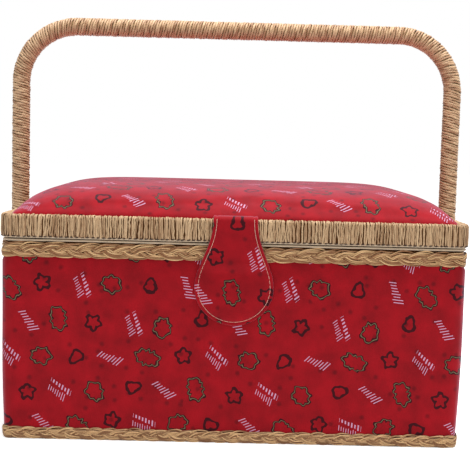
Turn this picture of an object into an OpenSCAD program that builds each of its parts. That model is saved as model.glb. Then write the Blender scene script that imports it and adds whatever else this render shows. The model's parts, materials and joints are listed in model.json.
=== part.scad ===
// Sewing carrier: a cloth covered case with a padded, hinged lid, a closing tab
// and a wound bail handle. The origin is the middle of the base on the floor,
// +X to the right, +Y to the back and +Z up. The tab is at the front.

/* [Case] */
// Width of the case over its cloth
case_w = 298; // [260:1:340]
// Depth of the case over its cloth, front to back
case_d = 224; // [190:1:250]
// Height of the case, from the floor to the lid joint
case_h = 131.6; // [115:0.2:150]
// Radius of the upright corners over the cloth
corner_r = 6; // [5:0.5:10]
// Thickness of the wall boards
wall_t = 5; // [4.5:0.5:7]
// Thickness of the base board
base_t = 4; // [3:0.5:7]
// Thickness of the printed cloth
cloth_t = 0.8; // [0.5:0.1:1.2]
// Thickness of the lining on the walls
lining_t = 0.8; // [0.5:0.1:1.5]
// Thickness of the padded lining on the base
base_pad_t = 2; // [1:0.5:4]
// Thickness of the sheet glued under the base
foot_t = 1.2; // [0.8:0.1:2]

/* [Braids and binding] */
// Height of the braid under the lid joint
top_braid_h = 8.8; // [6:0.2:14]
// How far the upper braid stands proud of the cloth
top_braid_t = 2.2; // [1:0.1:2.6]
// Height of the braid round the foot
base_braid_h = 8.3; // [6:0.1:14]
// How far the lower braid stands proud of the cloth
base_braid_t = 1.2; // [0.8:0.1:2.5]
// How far the lower braid reaches in under the case
base_braid_in = 3; // [2:0.5:4]
// Height of the pale binding on the top edge of the walls
lip_h = 1.9; // [1.6:0.1:3]
// How far the binding stands out from the cloth
lip_out = 1.6; // [0.5:0.1:2]

/* [Lid] */
// Gap between the closed lid and the case
lid_gap = 0.4; // [0.3:0.1:1]
// How far the lid stands out past the cloth of the case
lid_over = 3; // [2.8:0.1:4]
// Height of the pale hem under the lid
hem_h = 1.5; // [1.3:0.1:3]
// How far the hem lies back from the edge of the lid
hem_back = 1; // [0.5:0.1:1.1]
// Width of the hem band
hem_w = 10; // [9:0.5:14]
// Height of the wound frame round the lid
rim_h = 14.2; // [10:0.2:20]
// Thickness of the wooden frame inside the winding
frame_t = 4; // [3.6:0.2:6]
// Thickness of the straw wound round the frame
wrap_t = 1.2; // [1:0.1:1.6]
// Spacing of the upright straws drawn round the lid
straw_pitch = 3.4; // [3:0.1:8]
// Depth of the groove between two straws
straw_groove = 0.7; // [0.3:0.1:0.8]
// Thickness of the lid board
lid_board_t = 3; // [2:0.5:5]
// Height of the padded crown above the wound frame
crown_h = 19.4; // [10:0.2:35]
// How far the cloth of the crown starts below the top of the frame
crown_sink = 0.5; // [0:0.1:2]
// Steepness of the crown at its edges
crown_edge = 6; // [3:0.5:9]
// Fullness of the crown over its middle
crown_full = 0.7; // [0.5:0.05:1]
// Clearance of the board and crown inside the winding
pad_fit = 0.3; // [0.3:0.1:1]

/* [Closing tab] */
// Width of the tab where it is sewn to the lid
tab_neck_w = 28.6; // [20:0.2:40]
// Widest width of the tab
tab_w = 51.2; // [42:0.2:70]
// Length of the tab from its fold to its tip
tab_len = 70; // [60:0.5:90]
// Height of the round end of the tab under its widest line
tab_end = 24.4; // [18:0.2:32]
// Thickness of the padded tab
tab_t = 3; // [2.6:0.1:5]
// Thickness of the tab at its sewn edge
tab_edge_t = 1.2; // [0.8:0.1:2]
// Gap between the tab and what it lies on
tab_gap = 0.35; // [0.3:0.05:1]
// Diameter of the magnet in the tab
magnet_d = 14; // [8:0.5:20]
// Thickness of the magnet in the tab
magnet_t = 1.5; // [1:0.1:1.6]
// Thickness of the steel disc in the front board
plate_t = 1; // [0.6:0.1:2]

/* [Handle] */
// Gap between each wound leg and the side of the lid
handle_clear = 0.75; // [0.5:0.05:2]
// Height of the middle of the grip above the wound frame of the lid
grip_rise = 130.1; // [100:0.1:180]
// Radius of the handle corners at the middle of the rod
bend_r = 41.3; // [30:0.1:70]
// Diameter of the rod inside the winding
rod_d = 10; // [8:0.5:11]
// Diameter of the wound handle
wound_d = 13.5; // [12.5:0.1:15]
// Depth of the groove between two turns
turn_groove = 0.7; // [0.3:0.1:0.8]
// Number of turns drawn along the handle
turns = 130; // [60:1:200]
// Distance of the handle pivots below the lid joint
pivot_drop = 26.6; // [26:0.1:50]
// Diameter of the round eyes at the ends of the rod
eye_d = 18; // [14:0.5:22]
// Distance from the pivot to the lower end of the winding
wrap_start = 14; // [12:0.5:30]
// Diameter of the pivot bolts
bolt_d = 5; // [4:0.5:6]
// Diameter of the bolt heads
bolt_head_d = 12; // [9:0.5:16]
// Height of the bolt heads
bolt_head_h = 3; // [2:0.5:5]
// Diameter of the bushes between the case and the handle
bush_d = 12; // [9:0.5:16]
// Running clearance round the pivot bolts
pivot_fit = 0.05; // [0.03:0.01:0.1]

/* [Hinges] */
// Length of each hinge
hinge_l = 30; // [24:1:50]
// Distance from the middle of the case to each hinge
hinge_x = 90; // [50:1:110]
// Diameter of the hinge knuckles
knuckle_d = 3.8; // [3.4:0.1:5]
// Diameter of the hinge pins
pin_d = 1.6; // [1.2:0.1:2]
// Thickness of the hinge leaves
leaf_t = 0.9; // [0.6:0.1:1]
// Diameter of the hinge screws
screw_d = 1.6; // [1.2:0.1:2]
// Length of the hinge screws
screw_l = 9; // [6:0.5:10]

/* [Hidden] */

RED = "#a3182a";
STRAW = "#b99a72";
CREAM = "#d9cdb4";
WOOD = "#c9a878";
STEEL = "#b9bcc0";

// Facets of one rounded upright corner, an even number
corner_n = 6;
// Facets of the round metal parts
round_n = 48;
// Small clearance between pieces that are laid or screwed together
snug = 0.05;

// The case, from the floor up and from the outside in
wall_top = case_h - lip_h;
board_w = case_w - 2 * cloth_t;
board_d = case_d - 2 * cloth_t;
room_w = board_w - 2 * wall_t;
room_d = board_d - 2 * wall_t;
inside_w = room_w - 2 * lining_t;
inside_d = room_d - 2 * lining_t;
base_top = foot_t + base_t;

// The lid, from the joint up
lid_w = case_w + 2 * lid_over;
lid_d = case_d + 2 * lid_over;
lid_r = corner_r + lid_over;
hem_z = case_h + lid_gap;
rim_z = hem_z + hem_h;
rim_top = rim_z + rim_h;
rim_t = frame_t + 2 * wrap_t;
rim_round = 1.5;
rim_step = wrap_t - 0.2;
hem_in_w = lid_w - 2 * hem_back - 2 * hem_w;
hem_in_d = lid_d - 2 * hem_back - 2 * hem_w;
pad_w = lid_w - 2 * rim_t - 2 * pad_fit;
pad_d = lid_d - 2 * rim_t - 2 * pad_fit;
pad_r = max(lid_r - rim_t - pad_fit, 0.8);
pad_z = rim_z + lid_board_t;

// The braids: half the section of the upper one, as shares of its thickness and of half its height,
// and where the lower one turns under the base
braid_side = [[0, 1], [0.65, 0.91], [1, 0.44]];
foot_round = 0.35;

// The hinges: their axis lies behind the lid, in the plane of the joint
knuckle_gap = 0.3;
knuckle_end = 0.08;
leaf_proud = 0.2;
leaf_edge_y = lid_d / 2 + leaf_proud;
hinge_y = leaf_edge_y + knuckle_gap + knuckle_d / 2;
hinge_z = case_h + lid_gap / 2;
case_screw_y = board_d / 2 - wall_t / 2;
lid_screw_y = lid_d / 2 - wrap_t - frame_t / 2;
leaf_in = 2.8;
head_d = 1.8 * screw_d;
head_h = 0.7 * leaf_t;

// The handle: the legs stand outside the lid, on bushes
leg_x = lid_w / 2 + handle_clear + wound_d / 2;
pivot_z = case_h - pivot_drop;
grip_z = rim_top + grip_rise;
eye_x = leg_x - rod_d / 2;
bush_l = eye_x - case_w / 2 - 2 * snug;
leg_top_z = grip_z - bend_r;
wrap_z = pivot_z + wrap_start;
leg_len = leg_top_z - wrap_z;
bend_len = bend_r * PI / 2;
grip_len = 2 * (leg_x - bend_r);
wrap_len = 2 * leg_len + 2 * bend_len + grip_len;
turn_pitch = wrap_len / (turns + 1);
wound_sides = 8;
bend_steps = 8;
wind_fit = 0.27;

// The pivots: dome head, shank, bush and a tee nut let into the board
head_edge = 0.8;
shank_in = 0.4;
nut_flange_d = 16;
nut_flange_t = 1;
nut_d = bolt_d + 2;
nut_l = wall_t - 1.4;

// The tab: it folds over the front of the wound frame and leans in to the wall under the braid
fold_r = 1.8;
sewn_in = 3.8;
lean_h = 10;
wall_spare = 0.1;
tab_in_y = -(lid_d / 2 + tab_gap);
tab_wall_y = -(case_d / 2 + tab_gap + wall_spare);
tab_top_z = rim_top + tab_gap;
tab_axis_y = -(lid_d / 2 - sewn_in);
bulb_z = tab_top_z - tab_len + tab_end;
tab_cross = 8;

// Outline of a rounded rectangle, counter-clockwise from +X
function rr(w, d, r) = [for (c = [0:3]) for (k = [0:corner_n])
    corner_mid(w, d, r, c) + r * dir(90 * c + 90 * k / corner_n)];

// Middle of the arc of corner c, and the unit vector at an angle
function corner_mid(w, d, r, c) = [(c == 0 || c == 3 ? 1 : -1) * (w / 2 - r), (c < 2 ? 1 : -1) * (d / 2 - r)];
function dir(a) = [cos(a), sin(a)];

// A rounded slab, and a ring of one thickness
module slab(w, d, r, z, h) translate([0, 0, z]) linear_extrude(h) polygon(rr(w, d, r));

module ring(w, d, r, t, z, h) translate([0, 0, z]) linear_extrude(h) difference() {
    polygon(rr(w, d, r));
    polygon(rr(w - 2 * t, d - 2 * t, r - t));
}

// A box on its middle in X and Y
module box(w, d, z, h) translate([0, 0, z + h / 2]) cube([w, d, h], center = true);

// Cylinders along X and Y from a point
module rod_x(d, l) rotate([0, 90, 0]) cylinder(d = d, h = l, $fn = round_n);

module rod_y(d, l) rotate([-90, 0, 0]) cylinder(d = d, h = l, $fn = round_n);

// A copy on each side of the case
module both_sides() {
    children();
    mirror([1, 0, 0]) children();
}

// Triangles between the rings of a grid of points, n rings of m points; the last ring joins the first if closed
function skin(n, m, closed, start = 0) = [for (i = [0:n - (closed ? 1 : 2)]) for (j = [0:m - 1]) for (h = [0, 1])
    let (a = start + i * m + j, b = start + i * m + (j + 1) % m,
         c = start + ((i + 1) % n) * m + (j + 1) % m, e = start + ((i + 1) % n) * m + j)
    h == 0 ? [a, b, c] : [a, c, e]];

// The same triangles turned over
function turned(faces) = [for (f = faces) [f[0], f[2], f[1]]];

// A band of one section, [outward, height] points, round a rounded rectangle
module band(w, d, r, section) {
    points = [for (c = [0:3]) for (k = [0:corner_n]) for (p = section)
        let (q = corner_mid(w, d, r, c) + (r + p[0]) * dir(90 * c + 90 * k / corner_n))
        [q[0], q[1], p[1]]];
    polyhedron(points, skin(4 * (corner_n + 1), len(section), true));
}

// The sheet under the base, on which the case stands inside the lower braid
module foot_sheet() color(CREAM) slab(case_w - 2 * base_braid_in - 2 * snug, case_d - 2 * base_braid_in - 2 * snug,
    corner_r - base_braid_in, 0, foot_t);

module base_board() color(WOOD) box(room_w, room_d, foot_t, base_t);

// Front and back boards run the full width; their ends are rounded under the cloth
module long_board(side) intersection() {
    slab(board_w, board_d, corner_r - cloth_t, foot_t, wall_top - foot_t);
    translate([0, side * (board_d - wall_t) / 2, 0]) box(case_w, wall_t, 0, case_h);
}

module front_board() color(WOOD) difference() {
    long_board(-1);
    translate([0, -board_d / 2 - 1, bulb_z]) rod_y(magnet_d + 2 * snug, plate_t + 1 + snug);
}

module back_board() color(WOOD) difference() {
    long_board(1);
    hinge_screw_places() translate([0, case_screw_y, wall_top - screw_l])
        cylinder(d = screw_d + 2 * snug, h = screw_l + 1, $fn = round_n);
}

// The side boards stand between the front and the back and hold the tee nuts
module side_board() difference() {
    translate([(room_w + wall_t) / 2, 0, 0]) box(wall_t, room_d, foot_t, wall_top - foot_t);
    translate([room_w / 2 - 1, 0, pivot_z]) rod_x(bolt_d + 2 * snug, wall_t + 2);
    translate([room_w / 2 - 1, 0, pivot_z]) rod_x(nut_flange_d + 2 * snug, nut_flange_t + 1 + snug);
    translate([room_w / 2 - 1, 0, pivot_z]) rod_x(nut_d + 2 * snug, nut_l + 1 + snug);
}

module right_board() color(WOOD) side_board();

module left_board() color(WOOD) mirror([1, 0, 0]) side_board();

// The printed cloth round the walls, pierced for the pivot bolts
module case_cloth() color(RED) difference() {
    ring(case_w, case_d, corner_r, cloth_t, foot_t, wall_top - foot_t);
    translate([-case_w, 0, pivot_z]) rod_x(bolt_d + 2 * snug, 2 * case_w);
}

module side_lining() color(CREAM) difference() {
    box(room_w, room_d, base_top, wall_top - base_top);
    box(inside_w, inside_d, 0, case_h);
}

module base_lining() color(CREAM) box(inside_w, inside_d, base_top, base_pad_t);

// The pale binding over the top edges of the walls, let in for the hinge leaves
module case_binding() color(CREAM) difference() {
    slab(case_w + 2 * lip_out, case_d + 2 * lip_out, corner_r + lip_out, wall_top, lip_h);
    box(inside_w, inside_d, 0, 2 * case_h);
    hinge_places() translate([-hinge_l / 2 - snug, case_screw_y - leaf_in - snug, case_h - leaf_t - 2 * snug])
        cube([hinge_l + 2 * snug, case_d, 2 * leaf_t]);
    hinge_screw_places() translate([0, case_screw_y, wall_top - 1])
        cylinder(d = screw_d + 2 * snug, h = lip_h + 2, $fn = round_n);
}

// The upper braid: a rounded band between its two bound edges
module top_braid() color(STRAW) band(case_w, case_d, corner_r, [
    for (edge = [-1, 1]) for (p = edge < 0 ? braid_side : [braid_side[2], braid_side[1], braid_side[0]])
        [p[0] * top_braid_t, wall_top - top_braid_h / 2 + edge * p[1] * top_braid_h / 2]]);

// The lower braid: it turns in under the edge of the base
module base_braid() color(STRAW) band(case_w, case_d, corner_r, [
    [-base_braid_in, 0],
    [-foot_round * base_braid_in, 0],
    [foot_round * base_braid_t, foot_t],
    [base_braid_t, 0.45 * base_braid_h],
    [base_braid_t, 0.8 * base_braid_h],
    [0.5 * base_braid_t, base_braid_h],
    [0, base_braid_h],
    [0, foot_t],
    [-base_braid_in, foot_t]]);

module magnet_plate() color(STEEL) translate([0, -board_d / 2, bulb_z]) rod_y(magnet_d, plate_t);

module pivot_bolts() color(STEEL) both_sides() {
    head_x = leg_x + rod_d / 2 + snug;
    end_x = room_w / 2 + shank_in;
    translate([end_x, 0, pivot_z]) rod_x(bolt_d, head_x - end_x + head_edge / 2);
    translate([head_x, 0, pivot_z]) rotate([0, 90, 0]) rotate_extrude($fn = round_n) polygon(dome_profile());
}

// Half the section of a dome head: a short wall under an arc
function dome_profile() = concat([[0, 0], [bolt_head_d / 2, 0]],
    [for (k = [0:6]) [bolt_head_d / 2 * cos(15 * k), head_edge + (bolt_head_h - head_edge) * sin(15 * k)]]);

module pivot_bushes() color(STEEL) both_sides() translate([case_w / 2, 0, pivot_z]) difference() {
    rod_x(bush_d, bush_l);
    translate([-1, 0, 0]) rod_x(bolt_d + 2 * pivot_fit, bush_l + 2);
}

module pivot_tee_nuts() color(STEEL) both_sides() translate([room_w / 2, 0, pivot_z]) difference() {
    union() {
        rod_x(nut_flange_d, nut_flange_t);
        rod_x(nut_d, nut_l);
    }
    translate([-1, 0, 0]) rod_x(bolt_d + 2 * snug, nut_l + 2);
}

// The two hinges, and the two screws in each leaf
module hinge_places() for (x = [-hinge_x, hinge_x]) translate([x, 0, 0]) children();

module hinge_screw_places() hinge_places() for (x = [-hinge_l / 3, hinge_l / 3]) translate([x, 0, 0]) children();

// A third of the hinge's length, as one knuckle on the axis
module knuckle(third) translate([(third - 1.5) * hinge_l / 3 + knuckle_end, hinge_y, hinge_z])
    rod_x(knuckle_d, hinge_l / 3 - 2 * knuckle_end);

// The flat of a knuckle's leaf, from the axis to the edge of the hinge plate
module tongue(third, z) translate([(third - 1.5) * hinge_l / 3 + knuckle_end, leaf_edge_y - leaf_t / 2, z])
    cube([hinge_l / 3 - 2 * knuckle_end, hinge_y - leaf_edge_y + leaf_t / 2, leaf_t]);

module hinge_leaf(thirds, z, y) difference() {
    union() {
        translate([-hinge_l / 2, y - leaf_in, z]) cube([hinge_l, leaf_edge_y - y + leaf_in, leaf_t]);
        for (k = thirds) {
            knuckle(k);
            tongue(k, z);
        }
    }
    translate([-hinge_l, hinge_y, hinge_z]) rod_x(pin_d + 2 * snug, 2 * hinge_l);
}

module hinge_leaves_case() color(STEEL) difference() {
    hinge_places() hinge_leaf([0, 2], case_h - leaf_t - snug, case_screw_y);
    hinge_screws_case_at() hinge_screw(snug);
}

module hinge_leaves_lid() color(STEEL) difference() {
    hinge_places() hinge_leaf([1], hem_z + snug, lid_screw_y);
    hinge_screws_lid_at() hinge_screw(snug);
}

module hinge_pins() color(STEEL) hinge_places()
    translate([-hinge_l / 2, hinge_y, hinge_z]) rod_x(pin_d, hinge_l);

// A countersunk screw that points up from its flat head; extra widens it to the hole that it needs
module hinge_screw(extra = 0) {
    cylinder(d = screw_d + 2 * extra, h = screw_l, $fn = round_n);
    translate([0, 0, -extra]) cylinder(d1 = head_d + 2 * extra, d2 = screw_d, h = head_h + extra, $fn = round_n);
}

module hinge_screws_case_at() hinge_screw_places() translate([0, case_screw_y, case_h - snug])
    mirror([0, 0, 1]) children();

module hinge_screws_lid_at() hinge_screw_places() translate([0, lid_screw_y, hem_z + snug]) children();

module hinge_screws_case() color(STEEL) hinge_screws_case_at() hinge_screw();

module hinge_screws_lid() color(STEEL) hinge_screws_lid_at() hinge_screw();

// The wooden frame of the lid, bored from below for the hinge screws
module lid_frame() color(WOOD) difference() {
    ring(lid_w - 2 * wrap_t, lid_d - 2 * wrap_t, lid_r - wrap_t, frame_t, rim_z, rim_h - wrap_t);
    hinge_screw_places() translate([0, lid_screw_y, rim_z - 1])
        cylinder(d = screw_d + 2 * snug, h = screw_l, $fn = round_n);
}

// Outline of the winding: each upright straw is a crest, with a groove at each side
function straw_outline(w, d, r) = [for (c = [0:3]) each concat(
    [for (k = [0:corner_n])
        corner_mid(w, d, r, c) + (r - (k % 2) * straw_groove) * dir(90 * c + 90 * k / corner_n)],
    straw_side(w, d, r, c))];

// The straws of the straight side that follows corner c
function straw_side(w, d, r, c) =
    let (out = dir(90 * c + 90),
         from = corner_mid(w, d, r, c) + r * out,
         to = corner_mid(w, d, r, (c + 1) % 4) + r * out,
         n = round(norm(to - from) / straw_pitch))
    [for (m = [1:2 * n - 1]) from + (to - from) * m / (2 * n) - (m % 2) * straw_groove * out];

// Straw wound over the frame and stitched at its lower edge
module lid_winding() color(STRAW) difference() {
    union() {
        translate([0, 0, rim_z]) linear_extrude(rim_h - rim_round) polygon(straw_outline(lid_w, lid_d, lid_r));
        slab(lid_w - 2 * rim_step, lid_d - 2 * rim_step, lid_r - rim_step, rim_z, rim_h);
    }
    slab(lid_w - 2 * rim_t, lid_d - 2 * rim_t, lid_r - rim_t, 0, 2 * rim_top);
    ring(lid_w - 2 * wrap_t, lid_d - 2 * wrap_t, lid_r - wrap_t, frame_t, rim_z - 1, rim_h - wrap_t + 1);
}

// The pale hem under the frame, let in for the hinge leaves
module lid_hem() color(CREAM) difference() {
    slab(lid_w - 2 * hem_back, lid_d - 2 * hem_back, lid_r - hem_back, hem_z, hem_h);
    box(hem_in_w, hem_in_d, 0, 2 * rim_z);
    hinge_places() translate([-hinge_l / 2 - snug, lid_screw_y - leaf_in - snug, hem_z - leaf_t])
        cube([hinge_l + 2 * snug, lid_d, 2 * leaf_t + 2 * snug]);
    hinge_screw_places() translate([0, lid_screw_y, hem_z - 1])
        cylinder(d = screw_d + 2 * snug, h = hem_h + 2, $fn = round_n);
}

module lid_board() color(WOOD) slab(pad_w, pad_d, pad_r, rim_z, lid_board_t);

// The lining under the lid board fills the hem
module lid_lining() color(CREAM) box(hem_in_w - 2 * snug, hem_in_d - 2 * snug, rim_z - lining_t, lining_t);

// Height of the crown over its edge at a place
function crown(x, y) = crown_h * swell(x / pad_w) * swell(y / pad_d);
function swell(t) = pow(1 - min(1, pow(abs(2 * t), crown_edge)), crown_full);

// Outline of the crown with points along its straight sides too
function pad_outline(n) = [for (c = [0:3]) each concat(
    [for (k = [0:2:corner_n]) corner_mid(pad_w, pad_d, pad_r, c) + pad_r * dir(90 * c + 90 * k / corner_n)],
    let (out = pad_r * dir(90 * c + 90),
         from = corner_mid(pad_w, pad_d, pad_r, c) + out,
         to = corner_mid(pad_w, pad_d, pad_r, (c + 1) % 4) + out)
    [for (m = [1:n - 1]) from + (to - from) * m / n])];

// The padded crown: closed, flat below, domed above and drawn in at the frame
module lid_cushion() color(RED) {
    outline = pad_outline(12);
    m = len(outline);
    shares = [1, 0.99, 0.975, 0.955, 0.925, 0.88, 0.8, 0.68, 0.5, 0.26];
    edge_z = rim_top - crown_sink;
    top = len(shares) + 1;
    points = concat(
        [for (p = outline) [p[0], p[1], pad_z]],
        [for (t = shares) for (p = outline) [t * p[0], t * p[1], edge_z + crown(t * p[0], t * p[1])]],
        [[0, 0, edge_z + crown(0, 0)], [0, 0, pad_z]]);
    polyhedron(points, concat(
        turned(skin(top, m, false)),
        [for (j = [0:m - 1]) [(top - 1) * m + j, top * m, (top - 1) * m + (j + 1) % m]],
        [for (j = [0:m - 1]) [j, (j + 1) % m, top * m + 1]]));
}

// Half the width of the tab at a height: neck, swelling flank, then a round end
function tab_half(z) = z >= bulb_z
    ? tab_neck_w / 2 + (tab_w - tab_neck_w) / 2 * flank((tab_top_z - z) / (tab_top_z - bulb_z))
    : tab_w / 2 * sqrt(max(0, 1 - pow((bulb_z - z) / tab_end, 2)));
function flank(t) = (1 - cos(180 * pow(max(0, t), 1.15))) / 2;

// Where the back of the hanging tab lies: over the frame and braid, then in to the wall
function tab_back(z) =
    let (high = wall_top - top_braid_h, low = high - lean_h, t = max(0, min(1, (z - low) / (high - low))))
    tab_wall_y + (tab_in_y - tab_wall_y) * t * t * (3 - 2 * t);

// Stations of the tab, [y, z, angle of its outside, half width, back offset, front offset]
tab_stations = concat(
    [for (k = [3:-1:1]) let (back = tab_t / 2 * sin(27 * k), half = tab_t / 2 * cos(27 * k))
        [tab_axis_y + back, tab_top_z, 90, tab_neck_w / 2, tab_t / 2 - half, tab_t / 2 + half]],
    [[tab_axis_y, tab_top_z, 90, tab_neck_w / 2, 0, tab_t]],
    [for (k = [0:4]) [tab_in_y + fold_r - fold_r * sin(22.5 * k), tab_top_z - fold_r + fold_r * cos(22.5 * k),
        90 + 22.5 * k, tab_neck_w / 2, 0, tab_t]],
    [for (k = [1:12]) let (z = tab_top_z - fold_r + (bulb_z - tab_top_z + fold_r) * k / 12)
        [tab_back(z), z, 180, tab_half(z), 0, tab_t]],
    [for (k = [1:7]) let (z = bulb_z - tab_end * sin(12 * k))
        [tab_back(z), z, 180, tab_half(z), 0, tab_edge_t + (tab_t - tab_edge_t) * pow(cos(12 * k), 0.5)]]);

// One ring of the tab: along its back, then along its padded front
function tab_ring(s) = concat(
    [for (k = [0:tab_cross]) let (u = 2 * k / tab_cross - 1) tab_point(s, u, s[4])],
    [for (k = [tab_cross:-1:0]) let (u = 2 * k / tab_cross - 1) tab_point(s, u, tab_front(s, u))]);
function tab_front(s, u) = let (edge = min(s[5], s[4] + tab_edge_t)) edge + (s[5] - edge) * (1 - pow(abs(u), 4));
function tab_point(s, u, off) = [u * s[3], s[0] + off * cos(s[2]), s[1] + off * sin(s[2])];

// An end of the tab, closed from its back to its front
function tab_cap(first, m) = [for (k = [0:m / 2 - 2]) for (h = [0, 1])
    h == 0 ? [first + k, first + k + 1, first + m - 2 - k] : [first + k, first + m - 2 - k, first + m - 1 - k]];

// The padded tab with the pocket for its magnet
module tab_cloth() color(RED) difference() {
    m = 2 * (tab_cross + 1);
    n = len(tab_stations);
    polyhedron([for (s = tab_stations) each tab_ring(s)],
        concat(turned(skin(n, m, false)), tab_cap(0, m), turned(tab_cap((n - 1) * m, m))));
    translate([0, tab_wall_y - magnet_t - snug, bulb_z]) rod_y(magnet_d + 2 * snug, 2 * magnet_t);
}

module tab_magnet() color(STEEL) translate([0, tab_wall_y - magnet_t, bulb_z]) rod_y(magnet_d, magnet_t);

// The bent rod of the handle with a flat round eye at each end
module handle_rod() color(WOOD) difference() {
    both_sides() {
        hull() {
            translate([eye_x, 0, pivot_z]) rod_x(eye_d, rod_d);
            translate([leg_x, 0, wrap_z]) cylinder(d = rod_d, h = 0.1, $fn = 32);
        }
        translate([leg_x, 0, wrap_z]) cylinder(d = rod_d, h = leg_len, $fn = round_n);
        translate([leg_x - bend_r, 0, leg_top_z]) rotate([90, 0, 0])
            rotate_extrude(angle = 90, $fn = round_n) translate([bend_r, 0]) circle(d = rod_d, $fn = round_n);
        translate([0, 0, grip_z]) rod_x(rod_d, grip_len / 2);
    }
    translate([-2 * leg_x, 0, pivot_z]) rod_x(bolt_d + 2 * pivot_fit, 4 * leg_x);
}

// The middle line of the handle at a length along it, [x, z, angle of its outside]
function along(s) =
    s < leg_len ? [-leg_x, wrap_z + s, 180] :
    s < leg_len + bend_len ? around(-1, 180 - (s - leg_len) / bend_len * 90) :
    s < leg_len + bend_len + grip_len ? [s - leg_len - bend_len - grip_len / 2, grip_z, 90] :
    s < wrap_len - leg_len ? around(1, 90 - (s - leg_len - bend_len - grip_len) / bend_len * 90) :
    [leg_x, wrap_z + wrap_len - s, 0];
function around(side, a) = [side * (leg_x - bend_r) + bend_r * cos(a), leg_top_z + bend_r * sin(a), a];

// A point on the winding: length along the handle, angle round it and radius
function wound(s, a, r) = let (p = along(s), out = r * cos(a))
    [p[0] + out * cos(p[2]), r * sin(a), p[1] + out * sin(p[2])];

// The winding: crest and groove run on round the rod as one helix from end to end
module handle_winding() color(STRAW) {
    m = wound_sides;
    n = 2 * turns + 1;
    bore_r = (rod_d / 2 + wind_fit) / cos(180 / m);
    bends = [for (k = [0:bend_steps]) leg_len + bend_len * k / bend_steps];
    bore = concat([0], bends, [for (s = bends) s + bend_len + grip_len], [wrap_len]);
    points = concat(
        [for (i = [0:n - 1]) for (j = [0:m - 1]) let (a = 360 * (j + 0.5) / m)
            wound(turn_pitch * (i / 2 + j / m), a, wound_d / 2 - (i % 2) * turn_groove)],
        [for (s = bore) for (j = [0:m - 1]) wound(s, 360 * (j + 0.5) / m, bore_r)]);
    last = (n - 1) * m;
    inner = n * m;
    inner_last = inner + (len(bore) - 1) * m;
    polyhedron(points, concat(
        skin(n, m, false),
        turned(skin(len(bore), m, false, inner)),
        [for (j = [0:m - 1]) let (k = (j + 1) % m) each [[j, inner + j, inner + k], [j, inner + k, k]]],
        [for (j = [0:m - 1]) let (k = (j + 1) % m)
            each [[last + j, last + k, inner_last + k], [last + j, inner_last + k, inner_last + j]]]));
}

foot_sheet();
base_board();
front_board();
back_board();
left_board();
right_board();
case_cloth();
side_lining();
base_lining();
case_binding();
top_braid();
base_braid();
magnet_plate();
pivot_bolts();
pivot_bushes();
pivot_tee_nuts();
hinge_leaves_case();
hinge_pins();
hinge_screws_case();
lid_frame();
lid_winding();
lid_hem();
lid_board();
lid_lining();
lid_cushion();
hinge_leaves_lid();
hinge_screws_lid();
tab_cloth();
tab_magnet();
handle_rod();
handle_winding();
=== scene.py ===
"""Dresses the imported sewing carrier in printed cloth, plaited and wound straw, padding, linings and metal."""

import json
import math

import bmesh
import bpy
import numpy as np
from mathutils import Matrix, Vector


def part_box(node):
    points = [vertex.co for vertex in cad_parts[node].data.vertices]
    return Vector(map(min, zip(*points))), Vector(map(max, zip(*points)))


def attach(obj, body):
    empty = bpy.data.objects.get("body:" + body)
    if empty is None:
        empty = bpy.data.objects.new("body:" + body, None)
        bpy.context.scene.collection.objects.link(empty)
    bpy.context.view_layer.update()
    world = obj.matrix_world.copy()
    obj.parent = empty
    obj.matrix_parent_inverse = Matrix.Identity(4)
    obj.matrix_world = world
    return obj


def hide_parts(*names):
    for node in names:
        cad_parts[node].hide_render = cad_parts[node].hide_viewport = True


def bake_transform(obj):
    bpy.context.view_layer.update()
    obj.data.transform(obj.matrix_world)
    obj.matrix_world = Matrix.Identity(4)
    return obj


bl_info = {
    "name": "Sewing carrier",
    "version": (1, 0, 0),
    "blender": (4, 5, 0),
    "location": "3D View > Sidebar > Carrier",
    "description": "Dresses a cloth covered sewing carrier with straw trim, a padded lid and a wound handle",
    "category": "Object",
}

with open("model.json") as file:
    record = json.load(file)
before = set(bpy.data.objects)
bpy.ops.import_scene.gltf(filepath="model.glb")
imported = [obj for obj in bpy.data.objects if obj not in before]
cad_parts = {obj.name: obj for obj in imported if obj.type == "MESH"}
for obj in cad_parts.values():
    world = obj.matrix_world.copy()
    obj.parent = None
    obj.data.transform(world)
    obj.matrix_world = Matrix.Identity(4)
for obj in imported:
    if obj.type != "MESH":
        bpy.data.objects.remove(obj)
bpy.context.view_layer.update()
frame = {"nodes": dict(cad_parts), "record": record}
MM = 0.001
TURN = 2 * math.pi

CASE_LOW, CASE_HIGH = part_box("case_cloth")
LID_LOW, LID_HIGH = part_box("lid_winding")
HEM_LOW, HEM_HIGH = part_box("lid_hem")
BINDING_LOW, BINDING_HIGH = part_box("case_binding")
UPPER_LOW, UPPER_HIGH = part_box("top_braid")
LOWER_LOW, LOWER_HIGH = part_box("base_braid")
LINING_LOW, LINING_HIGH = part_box("side_lining")
PAD_LOW, PAD_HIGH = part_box("base_lining")
UNDER_LOW, UNDER_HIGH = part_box("lid_lining")
FOOT_LOW, FOOT_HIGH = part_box("foot_sheet")
CROWN_LOW, CROWN_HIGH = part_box("lid_cushion")
TAB_LOW, TAB_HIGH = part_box("tab_cloth")
WOUND_LOW, WOUND_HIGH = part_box("handle_winding")
MAGNET_LOW, MAGNET_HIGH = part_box("tab_magnet")


def linear(hexa):
    """An sRGB colour such as "b21a2b" as the linear numbers that shaders take."""
    parts = [int(hexa[i : i + 2], 16) / 255 for i in (0, 2, 4)]
    return tuple(c / 12.92 if c <= 0.04045 else ((c + 0.055) / 1.055) ** 2.4 for c in parts)


def length(name, description, millimetres):
    """A property that holds a size, from its default in millimetres."""
    return bpy.props.FloatProperty(
        name=name, description=description, default=millimetres * MM, min=0, unit="LENGTH", precision=5
    )


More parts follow.
